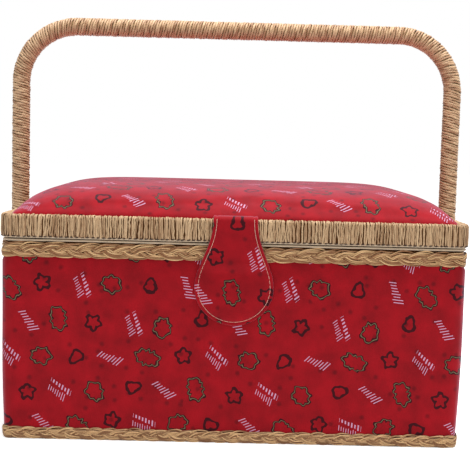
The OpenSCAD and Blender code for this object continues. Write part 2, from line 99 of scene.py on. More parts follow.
def colour(name, description, default):
    """A property that holds a colour."""
    return bpy.props.FloatVectorProperty(
        name=name, description=description, default=linear(default), subtype="COLOR", size=3, min=0, max=1
    )


class CarrierSizes(bpy.types.PropertyGroup):
    """Sizes of the soft and wound pieces."""

    case_corner: length("Case corner", "Radius of the upright corners of the case", 6)
    lid_corner: length("Lid corner", "Radius of the upright corners of the wound frame", 9)
    cloth: length("Cloth", "Thickness of the printed cloth", 0.6)
    rim: length("Frame thickness", "Thickness of the wound frame of the lid", 6.4)
    rim_straw: length("Frame straw", "Width of a straw wound round the frame of the lid", 1.03)
    plait_length: length("Plait length", "Length in which an upper strand crosses and returns", 36)
    foot_length: length("Foot plait length", "The same length of the lower braid", 26)
    bend: length("Handle bend", "Radius of the handle's corners at the middle of the rod", 41.3)
    handle_straw: length("Handle straw", "Room of one straw wound round the handle", 1.85)
    stitch: length("Stitch", "Length of one stitch with its gap on the tab", 3.2)
    dash: length("Frame stitch", "Length of one dark stitch with its gap under the frame", 3.4)
    tab_neck: length("Tab neck", "Width of the tab where it is sewn on", 28.6)
    tab_end: length("Tab end", "Height of the round end of the tab under its widest line", 24.4)
    print_cell: length("Print cell", "Room that each motif of the print has", 22.5)


class CarrierColours(bpy.types.PropertyGroup):
    """Colours of the cloths, the straw and the threads."""

    red: colour("Red", "Ground of the printed cotton", "9a0815")
    leaf: colour("Leaf", "Grey green outlines of the print", "7a7052")
    dark: colour("Dark", "Dark brown outlines of the print", "26030a")
    pale: colour("Pale", "Pale strokes of the print", "d6a8c8")
    rim_pale: colour("Frame straw", "Pale straw wound round the lid", "cfae86")
    rim_dark: colour("Frame straw, dark", "Darker straw wound round the lid", "9a7450")
    plait_pale: colour("Plait straw", "Pale straw of the braids", "dbb27f")
    plait_dark: colour("Plait straw, dark", "Darker straw of the braids", "8a5a33")
    handle_pale: colour("Handle straw", "Pale straw wound round the handle", "d9b48c")
    handle_dark: colour("Handle straw, dark", "Darker straw wound round the handle", "966846")
    # Painted red bounce light and reflection from the red lid, on the inner side of the handle
    blush: colour("Blush", "Red dye that has rubbed off on the inner side of the handle", "ae5c4a")
    tape: colour("Tape", "Pale tape that binds the edges", "cdb79c")
    lining: colour("Lining", "Plain cotton lining", "ded2b8")
    thread: colour("Thread", "Cream sewing thread", "ecb8a4")


def sizes():
    """The sizes that the scene holds."""
    return bpy.context.scene.carrier_sizes


def colours():
    """The colours that the scene holds."""
    return bpy.context.scene.carrier_colours


# Materials


def add(tree, kind, inputs=(), **settings):
    """Adds a shader node. Its inputs, in order or by socket, are values, or nodes or sockets to link."""
    made = tree.nodes.new("ShaderNode" + kind)
    for key, value in settings.items():
        setattr(made, key, value)
    for key, value in inputs.items() if isinstance(inputs, dict) else enumerate(inputs):
        if isinstance(value, bpy.types.Node):
            value = value.outputs[0]
        if isinstance(value, bpy.types.NodeSocket):
            tree.links.new(value, made.inputs[key])
        else:
            made.inputs[key].default_value = value
    return made


def material(name, sockets):
    """The node tree and the surface shader of a new material, with those sockets of the shader set."""
    made = bpy.data.materials.get(name)
    if made is not None:
        bpy.data.materials.remove(made)
    made = bpy.data.materials.new(name)
    made.use_nodes = True
    shader = made.node_tree.nodes["Principled BSDF"]
    for socket, value in sockets.items():
        shader.inputs[socket].default_value = value
    return made.node_tree, shader


def rgba(values, share=1.0):
    """A colour with alpha, made darker by a share."""
    return (*(share * c for c in values), 1.0)


# Outline motifs: place in the row of six, radius in mm, lobes, depth of a lobe, stretch, lean, and the inks
# from the lowest up, each with half the width of its line in mm and its strength
GREEN_INKS = (("dark", 1.0, 0.96), ("leaf", 0.2, 0.95))
DARK_INKS = (("dark", 0.95, 0.93),)
OUTLINES = (
    (0, 6.1, 9, 0.11, 0.26, 0.0, GREEN_INKS),
    (1, 4.4, 5, 0.20, 0.0, 0.0, DARK_INKS),
    (3, 5.6, 7, 0.11, 0.12, 0.24, GREEN_INKS),
    (4, 4.0, 3, 0.17, 0.14, 0.0, DARK_INKS),
)
# Rows of strokes: place in the row of six, height of the row's middle, pitch of the strokes, half the length
# of the row, half the height of a stroke, all in mm, then the slope and the share of the pitch that is filled
STROKES = (
    (2, 2.3, 2.3, 7.8, 1.9, 0.35, 0.2),
    (2, -2.7, 1.7, 6.6, 2.6, 0.35, 0.13),
    (5, 0.6, 2.0, 8.0, 3.4, -0.45, 0.14),
)
KINDS = 6
# Share of a cell by which a motif strays from its middle, and how far its hand-drawn line shakes, in mm
STRAY = 0.24
SHAKE = 2.2


def print_cells(tree, place):
    """The cell at a place: its kind of motif, its chance, and the place in mm from the motif's middle."""
    cell = sizes().print_cell
    spot = add(tree, "VectorMath", {0: place, 3: 1 / cell}, operation="SCALE")
    parts = add(tree, "SeparateXYZ", [spot])
    row = add(tree, "Math", [parts.outputs[1]], operation="FLOOR")
    odd = add(tree, "Math", [row, 2], operation="FLOORED_MODULO")
    across = add(tree, "Math", [odd, 0.5, parts.outputs[0]], operation="MULTIPLY_ADD")
    column = add(tree, "Math", [across], operation="FLOOR")
    order = add(tree, "Math", [row, 2, column], operation="MULTIPLY_ADD")
    kind = add(tree, "Math", [order, KINDS], operation="FLOORED_MODULO")
    tile = [add(tree, "Math", [number, KINDS], operation="FLOORED_MODULO") for number in (column, row)]
    chance = add(tree, "TexWhiteNoise", [add(tree, "CombineXYZ", tile)], noise_dimensions="3D")
    inner = [add(tree, "Math", [number], operation="FRACT") for number in (across, parts.outputs[1])]
    inner = add(tree, "CombineXYZ", [*inner, 0.5])
    strayed = add(tree, "VectorMath", {0: chance.outputs[1], 3: STRAY}, operation="SCALE")
    centred = add(tree, "VectorMath", [inner, strayed], operation="SUBTRACT")
    centred = add(tree, "VectorMath", [centred, [0.5 - STRAY / 2] * 3], operation="SUBTRACT")
    return kind, chance, add(tree, "VectorMath", {0: centred, 3: cell / MM}, operation="SCALE")


def outline_motifs(tree, paint, kind, chance, drawn):
    """Lobed rings in outline, turned by chance, laid over the paint."""
    spin = add(tree, "Math", [chance, TURN], operation="MULTIPLY")
    turned = add(tree, "VectorRotate", {"Vector": drawn, "Angle": spin}, rotation_type="Z_AXIS")
    side = add(tree, "SeparateXYZ", [turned])
    level = add(tree, "CombineXYZ", [side.outputs[0], side.outputs[1]])
    radius = add(tree, "VectorMath", [level], operation="LENGTH").outputs[1]
    angle = add(tree, "Math", [side.outputs[1], side.outputs[0]], operation="ARCTAN2")
    for here, size, lobes, depth, stretch, lean, inks in OUTLINES:
        reach = 1.0
        for times, share in ((lobes, depth), (2, stretch), (1, lean)):
            bent = add(tree, "Math", [angle, times], operation="MULTIPLY")
            wave = add(tree, "Math", [bent], operation="COSINE")
            reach = add(tree, "Math", [wave, share, reach], operation="MULTIPLY_ADD")
        off = add(tree, "Math", [reach, -size, radius], operation="MULTIPLY_ADD")
        far = add(tree, "Math", [off], operation="ABSOLUTE")
        chosen = add(tree, "Math", [kind, here, 0.5], operation="COMPARE")
        for ink, half, strength in inks:
            soft_line = [far, half - 0.12, half + 0.16, strength, 0.0]
            line = add(tree, "MapRange", soft_line, interpolation_type="SMOOTHSTEP")
            line = add(tree, "Math", [line, chosen], operation="MULTIPLY")
            over = rgba(getattr(colours(), ink))
            paint = add(tree, "Mix", {0: line, 6: paint, 7: over}, data_type="RGBA").outputs[2]
    return paint


def stroke_motifs(tree, paint, kind, chance, local):
    """Slanting rows of short pale strokes of uneven height, laid over the paint."""
    lie = add(tree, "Math", [chance, 1.1, 0.2], operation="MULTIPLY_ADD")
    laid = add(tree, "VectorRotate", {"Vector": local, "Angle": lie}, rotation_type="Z_AXIS")
    side = add(tree, "SeparateXYZ", [laid])
    pale = rgba(colours().pale)
    for here, middle, pitch, half_length, half_height, slope, share in STROKES:
        height = add(tree, "Math", [side.outputs[1], middle], operation="SUBTRACT")
        slanted = add(tree, "Math", [height, slope, side.outputs[0]], operation="MULTIPLY_ADD")
        counted = add(tree, "Math", [slanted, 1 / pitch], operation="MULTIPLY")
        within = add(tree, "Math", [counted], operation="FRACT")
        within = add(tree, "Math", [within, 0.5], operation="SUBTRACT")
        within = add(tree, "Math", [within], operation="ABSOLUTE")
        soft_stroke = [within, share - 0.04, share + 0.05, 0.9, 0.0]
        stroke = add(tree, "MapRange", soft_stroke, interpolation_type="SMOOTHSTEP")
        number = add(tree, "Math", [counted], operation="FLOOR")
        luck = add(tree, "TexWhiteNoise", {1: number}, noise_dimensions="1D")
        tall = add(tree, "Math", [luck, 0.5 * half_height, 0.5 * half_height], operation="MULTIPLY_ADD")
        chosen = add(tree, "Math", [kind, here, 0.5], operation="COMPARE")
        stroke = add(tree, "Math", [stroke, chosen], operation="MULTIPLY")
        for off, most in ((height, tall), (slanted, half_length)):
            off = add(tree, "Math", [off], operation="ABSOLUTE")
            gate = add(tree, "Math", [off, most], operation="LESS_THAN")
            stroke = add(tree, "Math", [stroke, gate], operation="MULTIPLY")
        paint = add(tree, "Mix", {0: stroke, 6: paint, 7: pale}, data_type="RGBA").outputs[2]
    return paint


def printed_cotton():
    """Printed cotton, woven plain, dyed and roller printed: matt, with a soft bloom where it turns."""
    tree, shader = material(
        "printed_cotton",
        {
            "Roughness": 0.75,
            "Specular IOR Level": 0.12,
            "Sheen Weight": 0.47,
            "Sheen Roughness": 0.42,
            "Sheen Tint": (0.96, 0.66, 0.88, 1.0),
        },
    )
    place = add(tree, "UVMap")
    red = colours().red
    base = add(tree, "TexNoise", {0: place, "Scale": 70.0, "Detail": 4.0}, noise_dimensions="2D")
    blotch = add(tree, "MapRange", [base, 0.3, 0.7])
    uneven = {0: blotch, 6: rgba(red, 0.78), 7: rgba(red, 1.18)}
    paint = add(tree, "Mix", uneven, data_type="RGBA").outputs[2]
    fibre = add(tree, "TexNoise", {0: place, "Scale": 1400.0, "Detail": 2.0}, noise_dimensions="2D")
    grain = add(tree, "Math", [fibre, 0.22], operation="MULTIPLY")
    paint = add(tree, "Mix", {0: grain, 6: paint, 7: rgba(red, 0.62)}, data_type="RGBA").outputs[2]

    # Small dark specks, in about a third of their cells
    specks = add(tree, "TexVoronoi", {0: place, "Scale": 1 / (9 * MM)}, voronoi_dimensions="2D")
    speck = add(tree, "MapRange", [specks, 0.04, 0.28, 0.45, 0.0], interpolation_type="SMOOTHSTEP")
    some = add(tree, "SeparateColor", [specks.outputs[1]])
    few = add(tree, "Math", [some, 0.68], operation="GREATER_THAN")
    speck = add(tree, "Math", [speck, few], operation="MULTIPLY")
    paint = add(tree, "Mix", {0: speck, 6: paint, 7: rgba(colours().dark)}, data_type="RGBA").outputs[2]

    kind, chance, local = print_cells(tree, place)
    shaky = add(tree, "TexNoise", {0: place, "Scale": 1 / (4 * MM), "Detail": 1.0}, noise_dimensions="2D")
    shaken = add(tree, "VectorMath", [shaky.outputs[1], (0.5, 0.5, 0.5)], operation="SUBTRACT")
    shaken = add(tree, "VectorMath", {0: shaken, 3: SHAKE}, operation="SCALE")
    drawn = add(tree, "VectorMath", [local, shaken], operation="ADD")
    paint = outline_motifs(tree, paint, kind, chance, drawn)
    paint = stroke_motifs(tree, paint, kind, chance, local)
    tree.links.new(paint, shader.inputs["Base Color"])
    weave(tree, shader, place, 0.6 * MM, 0.05 * MM)


def weave(tree, shader, place, pitch, depth):
    """Bump of a plain weave. Sewing cotton has threads 0.3 mm apart, drawn here about twice as coarse."""
    rows = add(tree, "VectorMath", {0: place, 3: TURN / (2 * pitch)}, operation="SCALE")
    parts = add(tree, "SeparateXYZ", [rows])
    warp = add(tree, "Math", [parts.outputs[0]], operation="SINE")
    weft = add(tree, "Math", [parts.outputs[1]], operation="SINE")
    threads = add(tree, "Math", [warp, weft], operation="MULTIPLY")
    pucker = add(tree, "TexNoise", {0: place, "Scale": 1 / (14 * MM), "Detail": 2.0}, noise_dimensions="2D")
    coarse = add(tree, "Bump", {"Height": pucker, "Distance": 0.6 * MM, "Strength": 0.35})
    fine = add(tree, "Bump", {"Height": threads, "Distance": depth, "Strength": 0.6, "Normal": coarse})
    tree.links.new(fine.outputs[0], shader.inputs["Normal"])


def straw(name, pale, dark):
    """Natural rush straw, split and dried: satin, streaked, and uneven in tone from straw to straw."""
    tree, shader = material(name, {"Roughness": 0.5, "Specular IOR Level": 0.45})
    tone = add(tree, "Attribute", attribute_name="tone").outputs[2]
    parts = add(tree, "SeparateXYZ", [add(tree, "UVMap")])
    along = add(tree, "Math", [parts.outputs[0], 1 / (9 * MM)], operation="MULTIPLY")
    around_it = add(tree, "Math", [parts.outputs[1], 7], operation="MULTIPLY")
    which = add(tree, "Math", [tone, 53], operation="MULTIPLY")
    spot = add(tree, "CombineXYZ", [along, around_it, which])
    streaks = add(tree, "TexNoise", {0: spot, "Scale": 1.0, "Detail": 4.0, "Roughness": 0.65})
    shade = add(tree, "MapRange", [streaks, 0.3, 0.7, -0.35, 0.35])
    mixed = add(tree, "Math", [tone, shade], operation="ADD", use_clamp=True)
    paint = add(tree, "Mix", {0: mixed, 6: rgba(dark), 7: rgba(pale)}, data_type="RGBA").outputs[2]

    # Painted shade, darker where the flanks of two straws meet
    flank = add(tree, "Math", [parts.outputs[1], 0.5], operation="SUBTRACT")
    flank = add(tree, "Math", [flank], operation="ABSOLUTE")
    crevice_shade = add(tree, "MapRange", [flank, 0.1, 0.28, 0.0, 0.9], interpolation_type="SMOOTHSTEP")
    paint = add(tree, "Mix", {0: crevice_shade, 6: paint, 7: rgba(dark, 0.25)}, data_type="RGBA").outputs[2]
    # Painted red bounce light and reflection from the lid, from the attribute that the handle holds
    blush = add(tree, "Attribute", attribute_name="blush").outputs[2]
    bounce_lit = {0: blush, 6: paint, 7: rgba(colours().blush)}
    paint = add(tree, "Mix", bounce_lit, data_type="RGBA").outputs[2]
    tree.links.new(paint, shader.inputs["Base Color"])
    bump = add(tree, "Bump", {"Height": streaks, "Distance": 0.12 * MM, "Strength": 0.5})
    tree.links.new(bump.outputs[0], shader.inputs["Normal"])


def plain_cloth(name, paint, pitch, fuzz=0.2):
    """Plain cotton, woven and unprinted: matt and a little uneven in colour, with a fine fuzz or none."""
    tree, shader = material(name, {"Roughness": 0.9, "Specular IOR Level": 0.2, "Sheen Weight": fuzz})
    place = add(tree, "UVMap")
    blotch = add(tree, "TexNoise", {0: place, "Scale": 90.0, "Detail": 4.0}, noise_dimensions="2D")
    mixed = add(tree, "Mix", {0: blotch, 6: rgba(paint, 0.78), 7: rgba(paint, 1.1)}, data_type="RGBA")
    tree.links.new(mixed.outputs[2], shader.inputs["Base Color"])
    weave(tree, shader, place, pitch, 0.08 * MM)


def raw_wood(name, pale, dark, stretch):
    """Raw wood or board, sawn and unvarnished: matt, with grain drawn out along one way."""
    tree, shader = material(name, {"Roughness": 0.7, "Specular IOR Level": 0.3})
    place = add(tree, "TexCoord")
    drawn = add(tree, "Mapping", {"Vector": place.outputs["Object"], "Scale": stretch})
    grain = add(tree, "TexNoise", {0: drawn, "Scale": 1.0, "Detail": 6.0, "Roughness": 0.6})
    ramp = add(tree, "MapRange", [grain, 0.3, 0.7])
    mixed = add(tree, "Mix", {0: ramp, 6: rgba(linear(dark)), 7: rgba(linear(pale))}, data_type="RGBA")
    tree.links.new(mixed.outputs[2], shader.inputs["Base Color"])
    bump = add(tree, "Bump", {"Height": grain, "Distance": 0.1 * MM, "Strength": 0.5})
    tree.links.new(bump.outputs[0], shader.inputs["Normal"])


def plated_steel():
    """Nickel plated steel, pressed and barrel plated: bright, with fine scuffs that break up its gloss."""
    tree, shader = material("plated_steel", {"Metallic": 1.0})
    place = add(tree, "TexCoord")
    scuffs = add(tree, "TexNoise", {0: place.outputs["Object"], "Scale": 900.0, "Detail": 5.0})
    rough = add(tree, "MapRange", [scuffs, 0.3, 0.7, 0.2, 0.38])
    tree.links.new(rough.outputs[0], shader.inputs["Roughness"])
    dull, bright = rgba(linear("9b9994")), rgba(linear("c4c2bd"))
    mixed = add(tree, "Mix", {0: scuffs, 6: dull, 7: bright}, data_type="RGBA")
    tree.links.new(mixed.outputs[2], shader.inputs["Base Color"])


def sewing_thread(name, paint, fuzz=0.2):
    """Spun cotton thread: matt, with the twist of its plies as a fine ripple along it."""
    tree, shader = material(name, {"Roughness": 0.75, "Sheen Weight": fuzz})
    place = add(tree, "UVMap")
    twist = add(tree, "Mapping", {"Vector": place, "Scale": (1 / (0.5 * MM), 1.0, 1.0)})
    plies = add(tree, "TexWave", {0: twist, "Scale": 0.3, "Distortion": 0.4}, bands_direction="DIAGONAL")
    mixed = add(tree, "Mix", {0: plies.outputs[1], 6: rgba(paint, 0.7), 7: rgba(paint)}, data_type="RGBA")
    tree.links.new(mixed.outputs[2], shader.inputs["Base Color"])


def finishes():
    """Every material of the carrier. The foot's straw is more uneven than that of the upper braid, and its pale
    is a little lighter as painted light where less light falls.
    """
    made = colours()
    printed_cotton()
    straw("plait_straw", made.plait_pale, made.plait_dark)
    # The foot straw's paler pale is painted light, for the dimmer foot; its darker dark makes it more uneven
    straw("foot_straw", [1.04 * c for c in made.plait_pale], [0.85 * c for c in made.plait_dark])
    straw("rim_straw", made.rim_pale, made.rim_dark)
    straw("handle_straw", made.handle_pale, made.handle_dark)
    # Dark brown core: painted shade in the gaps between the frame's straws
    plain_cloth("straw_core", linear("543010"), 1.5 * MM, 0.0)
    # Dark brown backing: painted shade in the gaps of the braids
    plain_cloth("backing_tape", linear("4c2c10"), 1.0 * MM, 0.0)
    plain_cloth("tape_cotton", made.tape, 0.7 * MM)
    plain_cloth("lining_cotton", made.lining, 0.7 * MM)
    plain_cloth("foot_felt", linear("b9ab90"), 1.2 * MM)
    raw_wood("grey_board", "b9a98c", "9c8b6d", (120, 120, 260))
    raw_wood("bent_cane", "cda873", "a57c49", (500, 500, 90))
    plated_steel()
    sewing_thread("cream_thread", made.thread)
    sewing_thread("dark_thread", linear("3a200c"), 0.0)


def finish_piece(piece, finish, slot, body, *nodes):
    """Gives a finished piece its material and body, and hides the nodes that it stands for. Its slot is not
    used.
    """
    piece.data.materials.clear()
    piece.data.materials.append(bpy.data.materials[finish])
    if body is not None:
        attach(piece, body)
    if nodes:
        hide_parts(*nodes)
    return piece


# Mesh building


def pick(*pieces):
    """Selects these pieces and nothing else."""
    bpy.ops.object.select_all(action="DESELECT")
    for piece in pieces:
        piece.select_set(True)
    bpy.context.view_layer.objects.active = pieces[-1]


def modify(piece, kind, **settings):
    """Adds a modifier to a piece and applies it."""
    pick(piece)
    made = piece.modifiers.new(kind.title(), kind)
    for key, value in settings.items():
        setattr(made, key, value)
    bpy.ops.object.modifier_apply(modifier=made.name)
    return piece


def new_object(name, data):
    """Puts a mesh, lamp or camera in the scene."""
    made = bpy.data.objects.new(name, data)
    bpy.context.scene.collection.objects.link(made)
    return made


def mesh_piece(name, points, faces, uv, **values):
    """A smooth mesh object from its points, faces and the place of each face corner on the cloth or straw."""
    data = bpy.data.meshes.new(name)
    data.from_pydata(points.reshape(-1, 3).tolist(), [], faces)
    layer = data.uv_layers.new(name="UVMap")
    layer.data.foreach_set("uv", np.asarray(uv, np.float32).ravel())
    for key, value in values.items():
        held = data.attributes.new(key, "FLOAT", "POINT")
        held.data.foreach_set("value", np.asarray(value, np.float32).ravel())
    data.shade_smooth()
    return new_object(name, data)


def points_of(piece):
    """The places of a piece's points."""
    return np.array([v.co for v in piece.data.vertices])


def set_points(piece, at):
    """Moves a piece's points to these places."""
    piece.data.vertices.foreach_set("co", at.astype(np.float32).ravel())
    piece.data.update()


def lay_uv(piece, place):
    """Lays a piece's cloth out flat, with the place of each of its points on the cloth."""
    data = piece.data
    layer = data.uv_layers.get("UVMap") or data.uv_layers.new(name="UVMap")
    corners = np.zeros(len(data.loops), int)
    data.loops.foreach_get("vertex_index", corners)
    layer.data.foreach_set("uv", place[corners].astype(np.float32).ravel())


def unit_grid(name, columns, rows):
    """A level square sheet with sides of one, divided into a grid."""
    bpy.ops.object.select_all(action="DESELECT")
    bpy.ops.mesh.primitive_grid_add(x_subdivisions=columns, y_subdivisions=rows, size=1, location=(0, 0, 0))
    piece = bpy.context.object
    piece.name = name
    return piece


def close_below(z, narrow=(1, 1)):
    """Draws the sheet at hand down to a level underside, made narrower by these shares."""
    bpy.ops.object.mode_set(mode="EDIT")
    bpy.ops.mesh.select_all(action="SELECT")
    bpy.ops.mesh.extrude_region_move()
    bpy.ops.transform.resize(value=(*narrow, 0), center_override=(0, 0, z))
    bpy.ops.mesh.select_all(action="SELECT")
    bpy.ops.mesh.normals_make_consistent(inside=False)
    bpy.ops.object.mode_set(mode="OBJECT")


def unit(vectors):
    """Vectors made one long."""
    return vectors / np.maximum(np.linalg.norm(vectors, axis=-1, keepdims=True), 1e-12)


def run_along(path):
    """Length along a row of points up to each of them."""
    return np.concatenate([[0], np.cumsum(np.linalg.norm(np.diff(path, axis=0), axis=1))])


def face_uv(here, there, low, high):
    """Places on the flat cloth of the four corners of faces, from here to there and from low to high."""
    corners = ((here, low), (here, high), (there, high), (there, low))
    return np.stack([np.stack(corner, -1) for corner in corners], -2)


def swept(name, centre, wide, half_wide, half_thin, sides, closed=False, **values):
    """Oval straws along rows of points: centre and wide are (straws, rings, 3), the rest (straws, rings)."""
    straws, rings = centre.shape[:2]
    if closed:
        ahead = np.roll(centre, -1, 1) - np.roll(centre, 1, 1)
    else:
        ahead = np.gradient(centre, axis=1)
    ahead = unit(ahead)
    wide = unit(wide - (wide * ahead).sum(-1, keepdims=True) * ahead)
    thin = np.cross(ahead, wide)
    turn = TURN * (np.arange(sides) / sides - 0.25)
    points = (
        centre[:, :, None]
        + (half_wide[..., None] * np.cos(turn))[..., None] * wide[:, :, None]
        + (half_thin[..., None] * np.sin(turn))[..., None] * thin[:, :, None]
    )
    steps = np.linalg.norm(np.diff(centre, axis=1, append=centre[:, :1]), axis=-1)
    run = np.concatenate([np.zeros((straws, 1)), np.cumsum(steps, 1)], 1)
    spans = rings if closed else rings - 1
    i, j, k = np.meshgrid(np.arange(straws), np.arange(spans), np.arange(sides), indexing="ij")
    after, beside = (j + 1) % rings, (k + 1) % sides
    number = np.arange(straws * rings * sides).reshape(straws, rings, sides)
    faces = [number[i, j, k], number[i, j, beside], number[i, after, beside], number[i, after, k]]
    faces = np.stack(faces, -1).reshape(-1, 4).tolist()
    uv = face_uv(run[i, j], run[i, j + 1], k / sides, (k + 1) / sides).reshape(-1, 2)
    if not closed:
        for first, last in number[:, [0, -1]].tolist():
            faces += [first[::-1], last]
        ends = np.repeat(run[:, [0, rings - 1], None], sides, -1)
        flat = np.broadcast_to(np.arange(sides) / sides, ends.shape)
        uv = np.concatenate([uv, np.stack([ends, flat], -1).reshape(-1, 2)])
    values = {key: np.repeat(value[..., None], sides, -1) for key, value in values.items()}
    return mesh_piece(name, points, faces, uv, **values)


def around(w, d, r, s):
    """Places and ways out at lengths s round a rounded rectangle, from the middle of its back by its left."""
    half, side, arc = w / 2 - r, d - 2 * r, math.pi * r / 2
    runs = np.cumsum([0, half, arc, side, arc, 2 * half, arc, side, arc, half])
    s = np.mod(s, runs[-1])
    k = np.clip(np.searchsorted(runs, s, "right") - 1, 0, 8)
    t = s - runs[k]
    on_arc = k % 2 == 1
    angle = math.pi / 2 * (1 + k // 2) + np.where(on_arc, t / max(r, 1e-9), 0)
    out = np.stack([np.cos(angle), np.sin(angle)], -1)
    hub_y = d / 2 - r
    hubs = np.array([[-half, hub_y], [-half, -hub_y], [half, -hub_y], [half, hub_y]])
    bent = hubs[np.minimum(k // 2, 3)] + r * out
    starts = np.array([[0, d / 2], [-w / 2, hub_y], [-half, -d / 2], [w / 2, -hub_y], [half, d / 2]])
    forward = np.stack([-out[..., 1], out[..., 0]], -1)
    places = np.where(on_arc[..., None], bent, starts[k // 2] + forward * t[..., None])
    return places, out


def off_wall(w, d, r, s, outward, height):
    """Points at lengths s round a rounded rectangle, so far outward from it and so high, and the ways out."""
    place, out = around(w, d, r, s)
    flat = place + outward[..., None] * out
    return np.concatenate([flat, np.broadcast_to(height, flat.shape[:-1])[..., None]], -1), out


def breadth(low, high):
    """Width and depth of a box."""
    return high.x - low.x, high.y - low.y


def perimeter(w, d, r):
    """Way round a rounded rectangle."""
    return 2 * (w + d) - 8 * r + TURN * r


def wander(t, total, size, seed):
    """A smooth uneven wave between about -1 and 1, with bumps of about that size, closed after the total."""
    chance = np.random.default_rng(seed)
    made = np.zeros(np.shape(t))
    for share in (0.6, 1.0, 1.7):
        turns = max(1, round(total / size * share))
        made = made + np.sin(TURN * (turns * t / total + chance.random())) / 1.7
    return made


def wanders(t, total, size, seed, count):
    """Rows of such waves, from one seed on."""
    return np.concatenate([wander(t, total, size, seed + n) for n in range(count)])


def grid_piece(name, points, uv, round_rows=False):
    """A sheet over a grid of points, (rows, columns, 3), facing the way that rows cross columns."""
    rows, columns = points.shape[:2]
    spans = columns if round_rows else columns - 1
    i, j = np.meshgrid(np.arange(rows - 1), np.arange(spans), indexing="ij")
    number = np.arange(rows * columns).reshape(rows, columns)
    k = (j + 1) % columns
    faces = np.stack([number[i, j], number[i, k], number[i + 1, k], number[i + 1, j]], -1)
    return mesh_piece(name, points, faces.reshape(-1, 4).tolist(), uv.reshape(-1, 2)[faces.reshape(-1)])


def wall_sheet(name, w, d, r, low, high, relief, inward=False):
    """An upright sheet of cloth round a rounded rectangle, lapped over itself at the middle of the back."""
    step, lap = 4 * MM, 8 * MM
    total = perimeter(w, d, r)
    s = np.linspace(0, total + lap, round((total + lap) / step))[None]
    z = np.linspace(low, high, round((high - low) / step))[:, None]
    rise = np.clip((s - total + 2 * MM) / (3 * MM), 0, 1) * 0.7 * MM
    swell = relief(s, z, total) + rise
    points, _ = off_wall(w, d, r, s, -swell if inward else swell, z)
    uv = np.stack(np.broadcast_arrays(s, z), -1)
    if inward:
        points, uv = points[:, ::-1], uv[:, ::-1]
    return grid_piece(name, points, uv)


def band(name, w, d, r, section, stray=None):
    """A tape of one section, (outward, height) points in order, all round a rounded rectangle."""
    step = 3 * MM
    total = perimeter(w, d, r)
    s = np.linspace(0, total, round(total / step), endpoint=False)
    section = np.array(section)
    drawn = section[None] + (0 if stray is None else stray(s[:, None], section[None], total))
    drawn = np.broadcast_to(drawn, (len(s), len(section), 2))
    points, _ = off_wall(w, d, r, s[:, None], drawn[..., 0], drawn[..., 1])
    n, m = len(s), len(section)
    i, j = np.meshgrid(np.arange(n), np.arange(m), indexing="ij")
    number = np.arange(n * m).reshape(n, m)
    a, b = (i + 1) % n, (j + 1) % m
    faces = np.stack([number[i, j], number[a, j], number[a, b], number[i, b]], -1).reshape(-1, 4)
    across = run_along(np.concatenate([section, section[:1]]))
    along = np.append(s, total)
    uv = face_uv(along[i], along[i + 1], across[j], across[j + 1])[..., [0, 3, 2, 1], :]
    return mesh_piece(name, points, faces.tolist(), uv)


def block(name, low, high, corner, edge):
    """A box between two corners with rounded upright corners and softened rims, modelled in edit mode."""
    bpy.ops.object.select_all(action="DESELECT")
    bpy.ops.mesh.primitive_cube_add(size=1, location=(Vector(low) + Vector(high)) / 2)
    piece = bpy.context.object
    piece.name = name
    piece.scale = Vector(high) - Vector(low)
    bpy.ops.object.transform_apply(location=True, rotation=True, scale=True)
    for upright, size, steps in ((True, corner, 6), (False, edge, 3)):
        if not size:
            continue
        bpy.ops.object.mode_set(mode="EDIT")
        bpy.ops.mesh.select_all(action="DESELECT")
        shape = bmesh.from_edit_mesh(piece.data)
        shape.select_mode = {"EDGE"}
        for e in shape.edges:
            a, b = (v.co for v in e.verts)
            stands = abs(a.z - b.z) > abs((b - a).xy.length)
            flat = abs(a.z - b.z) < 1e-6 and len({round(f.normal.z, 3) for f in e.link_faces}) == 2
            e.select_set(stands if upright else flat)
        bmesh.update_edit_mesh(piece.data)
        bpy.ops.mesh.bevel(offset=size, segments=steps, affect="EDGES")
        bpy.ops.object.mode_set(mode="OBJECT")
    return piece


def cut(piece, tool):
    """Takes one piece away from another."""
    modify(piece, "BOOLEAN", object=tool, operation="DIFFERENCE", solver="EXACT")
    bpy.data.objects.remove(tool)
    return piece


# Pieces


def cover_relief(s, z, total):
    """Slight waves of the cloth on the boards."""
    waves = 0.09 * MM * wander(s + 0.4 * z, total, 60 * MM, 3)
    return waves + 0.05 * MM * np.sin(z / (17 * MM) + s / (31 * MM))


def case_cover():
    """The printed cloth round the boards of the case."""
    size = sizes()
    w, d = breadth(CASE_LOW, CASE_HIGH)
    lean = 1.9 * MM

    def relief(s, z, total):
        """Waves, and ends that lean out a little toward the braid, most of all at the corners."""
        place, out = around(w, d, size.case_corner, s)
        near = 0.3 + 0.7 * np.clip((np.abs(place[..., 1]) / MM - 30) / 60, 0, 1)
        high = np.sin(math.pi / 2 * np.clip((z - LOWER_HIGH.z) / (60 * MM), 0, 1))
        under = np.clip((UPPER_LOW.z + 0.5 * MM - z) / (4 * MM), 0, 1)
        return cover_relief(s, z, total) + lean * (near * out[..., 0] ** 2) * high * under

    piece = wall_sheet("case_cover", w, d, size.case_corner, CASE_LOW.z, CASE_HIGH.z, relief)
    modify(piece, "SOLIDIFY", thickness=size.cloth, offset=-1)
    finish_piece(piece, "printed_cotton", "printed_cloth", "case", "case_cloth")


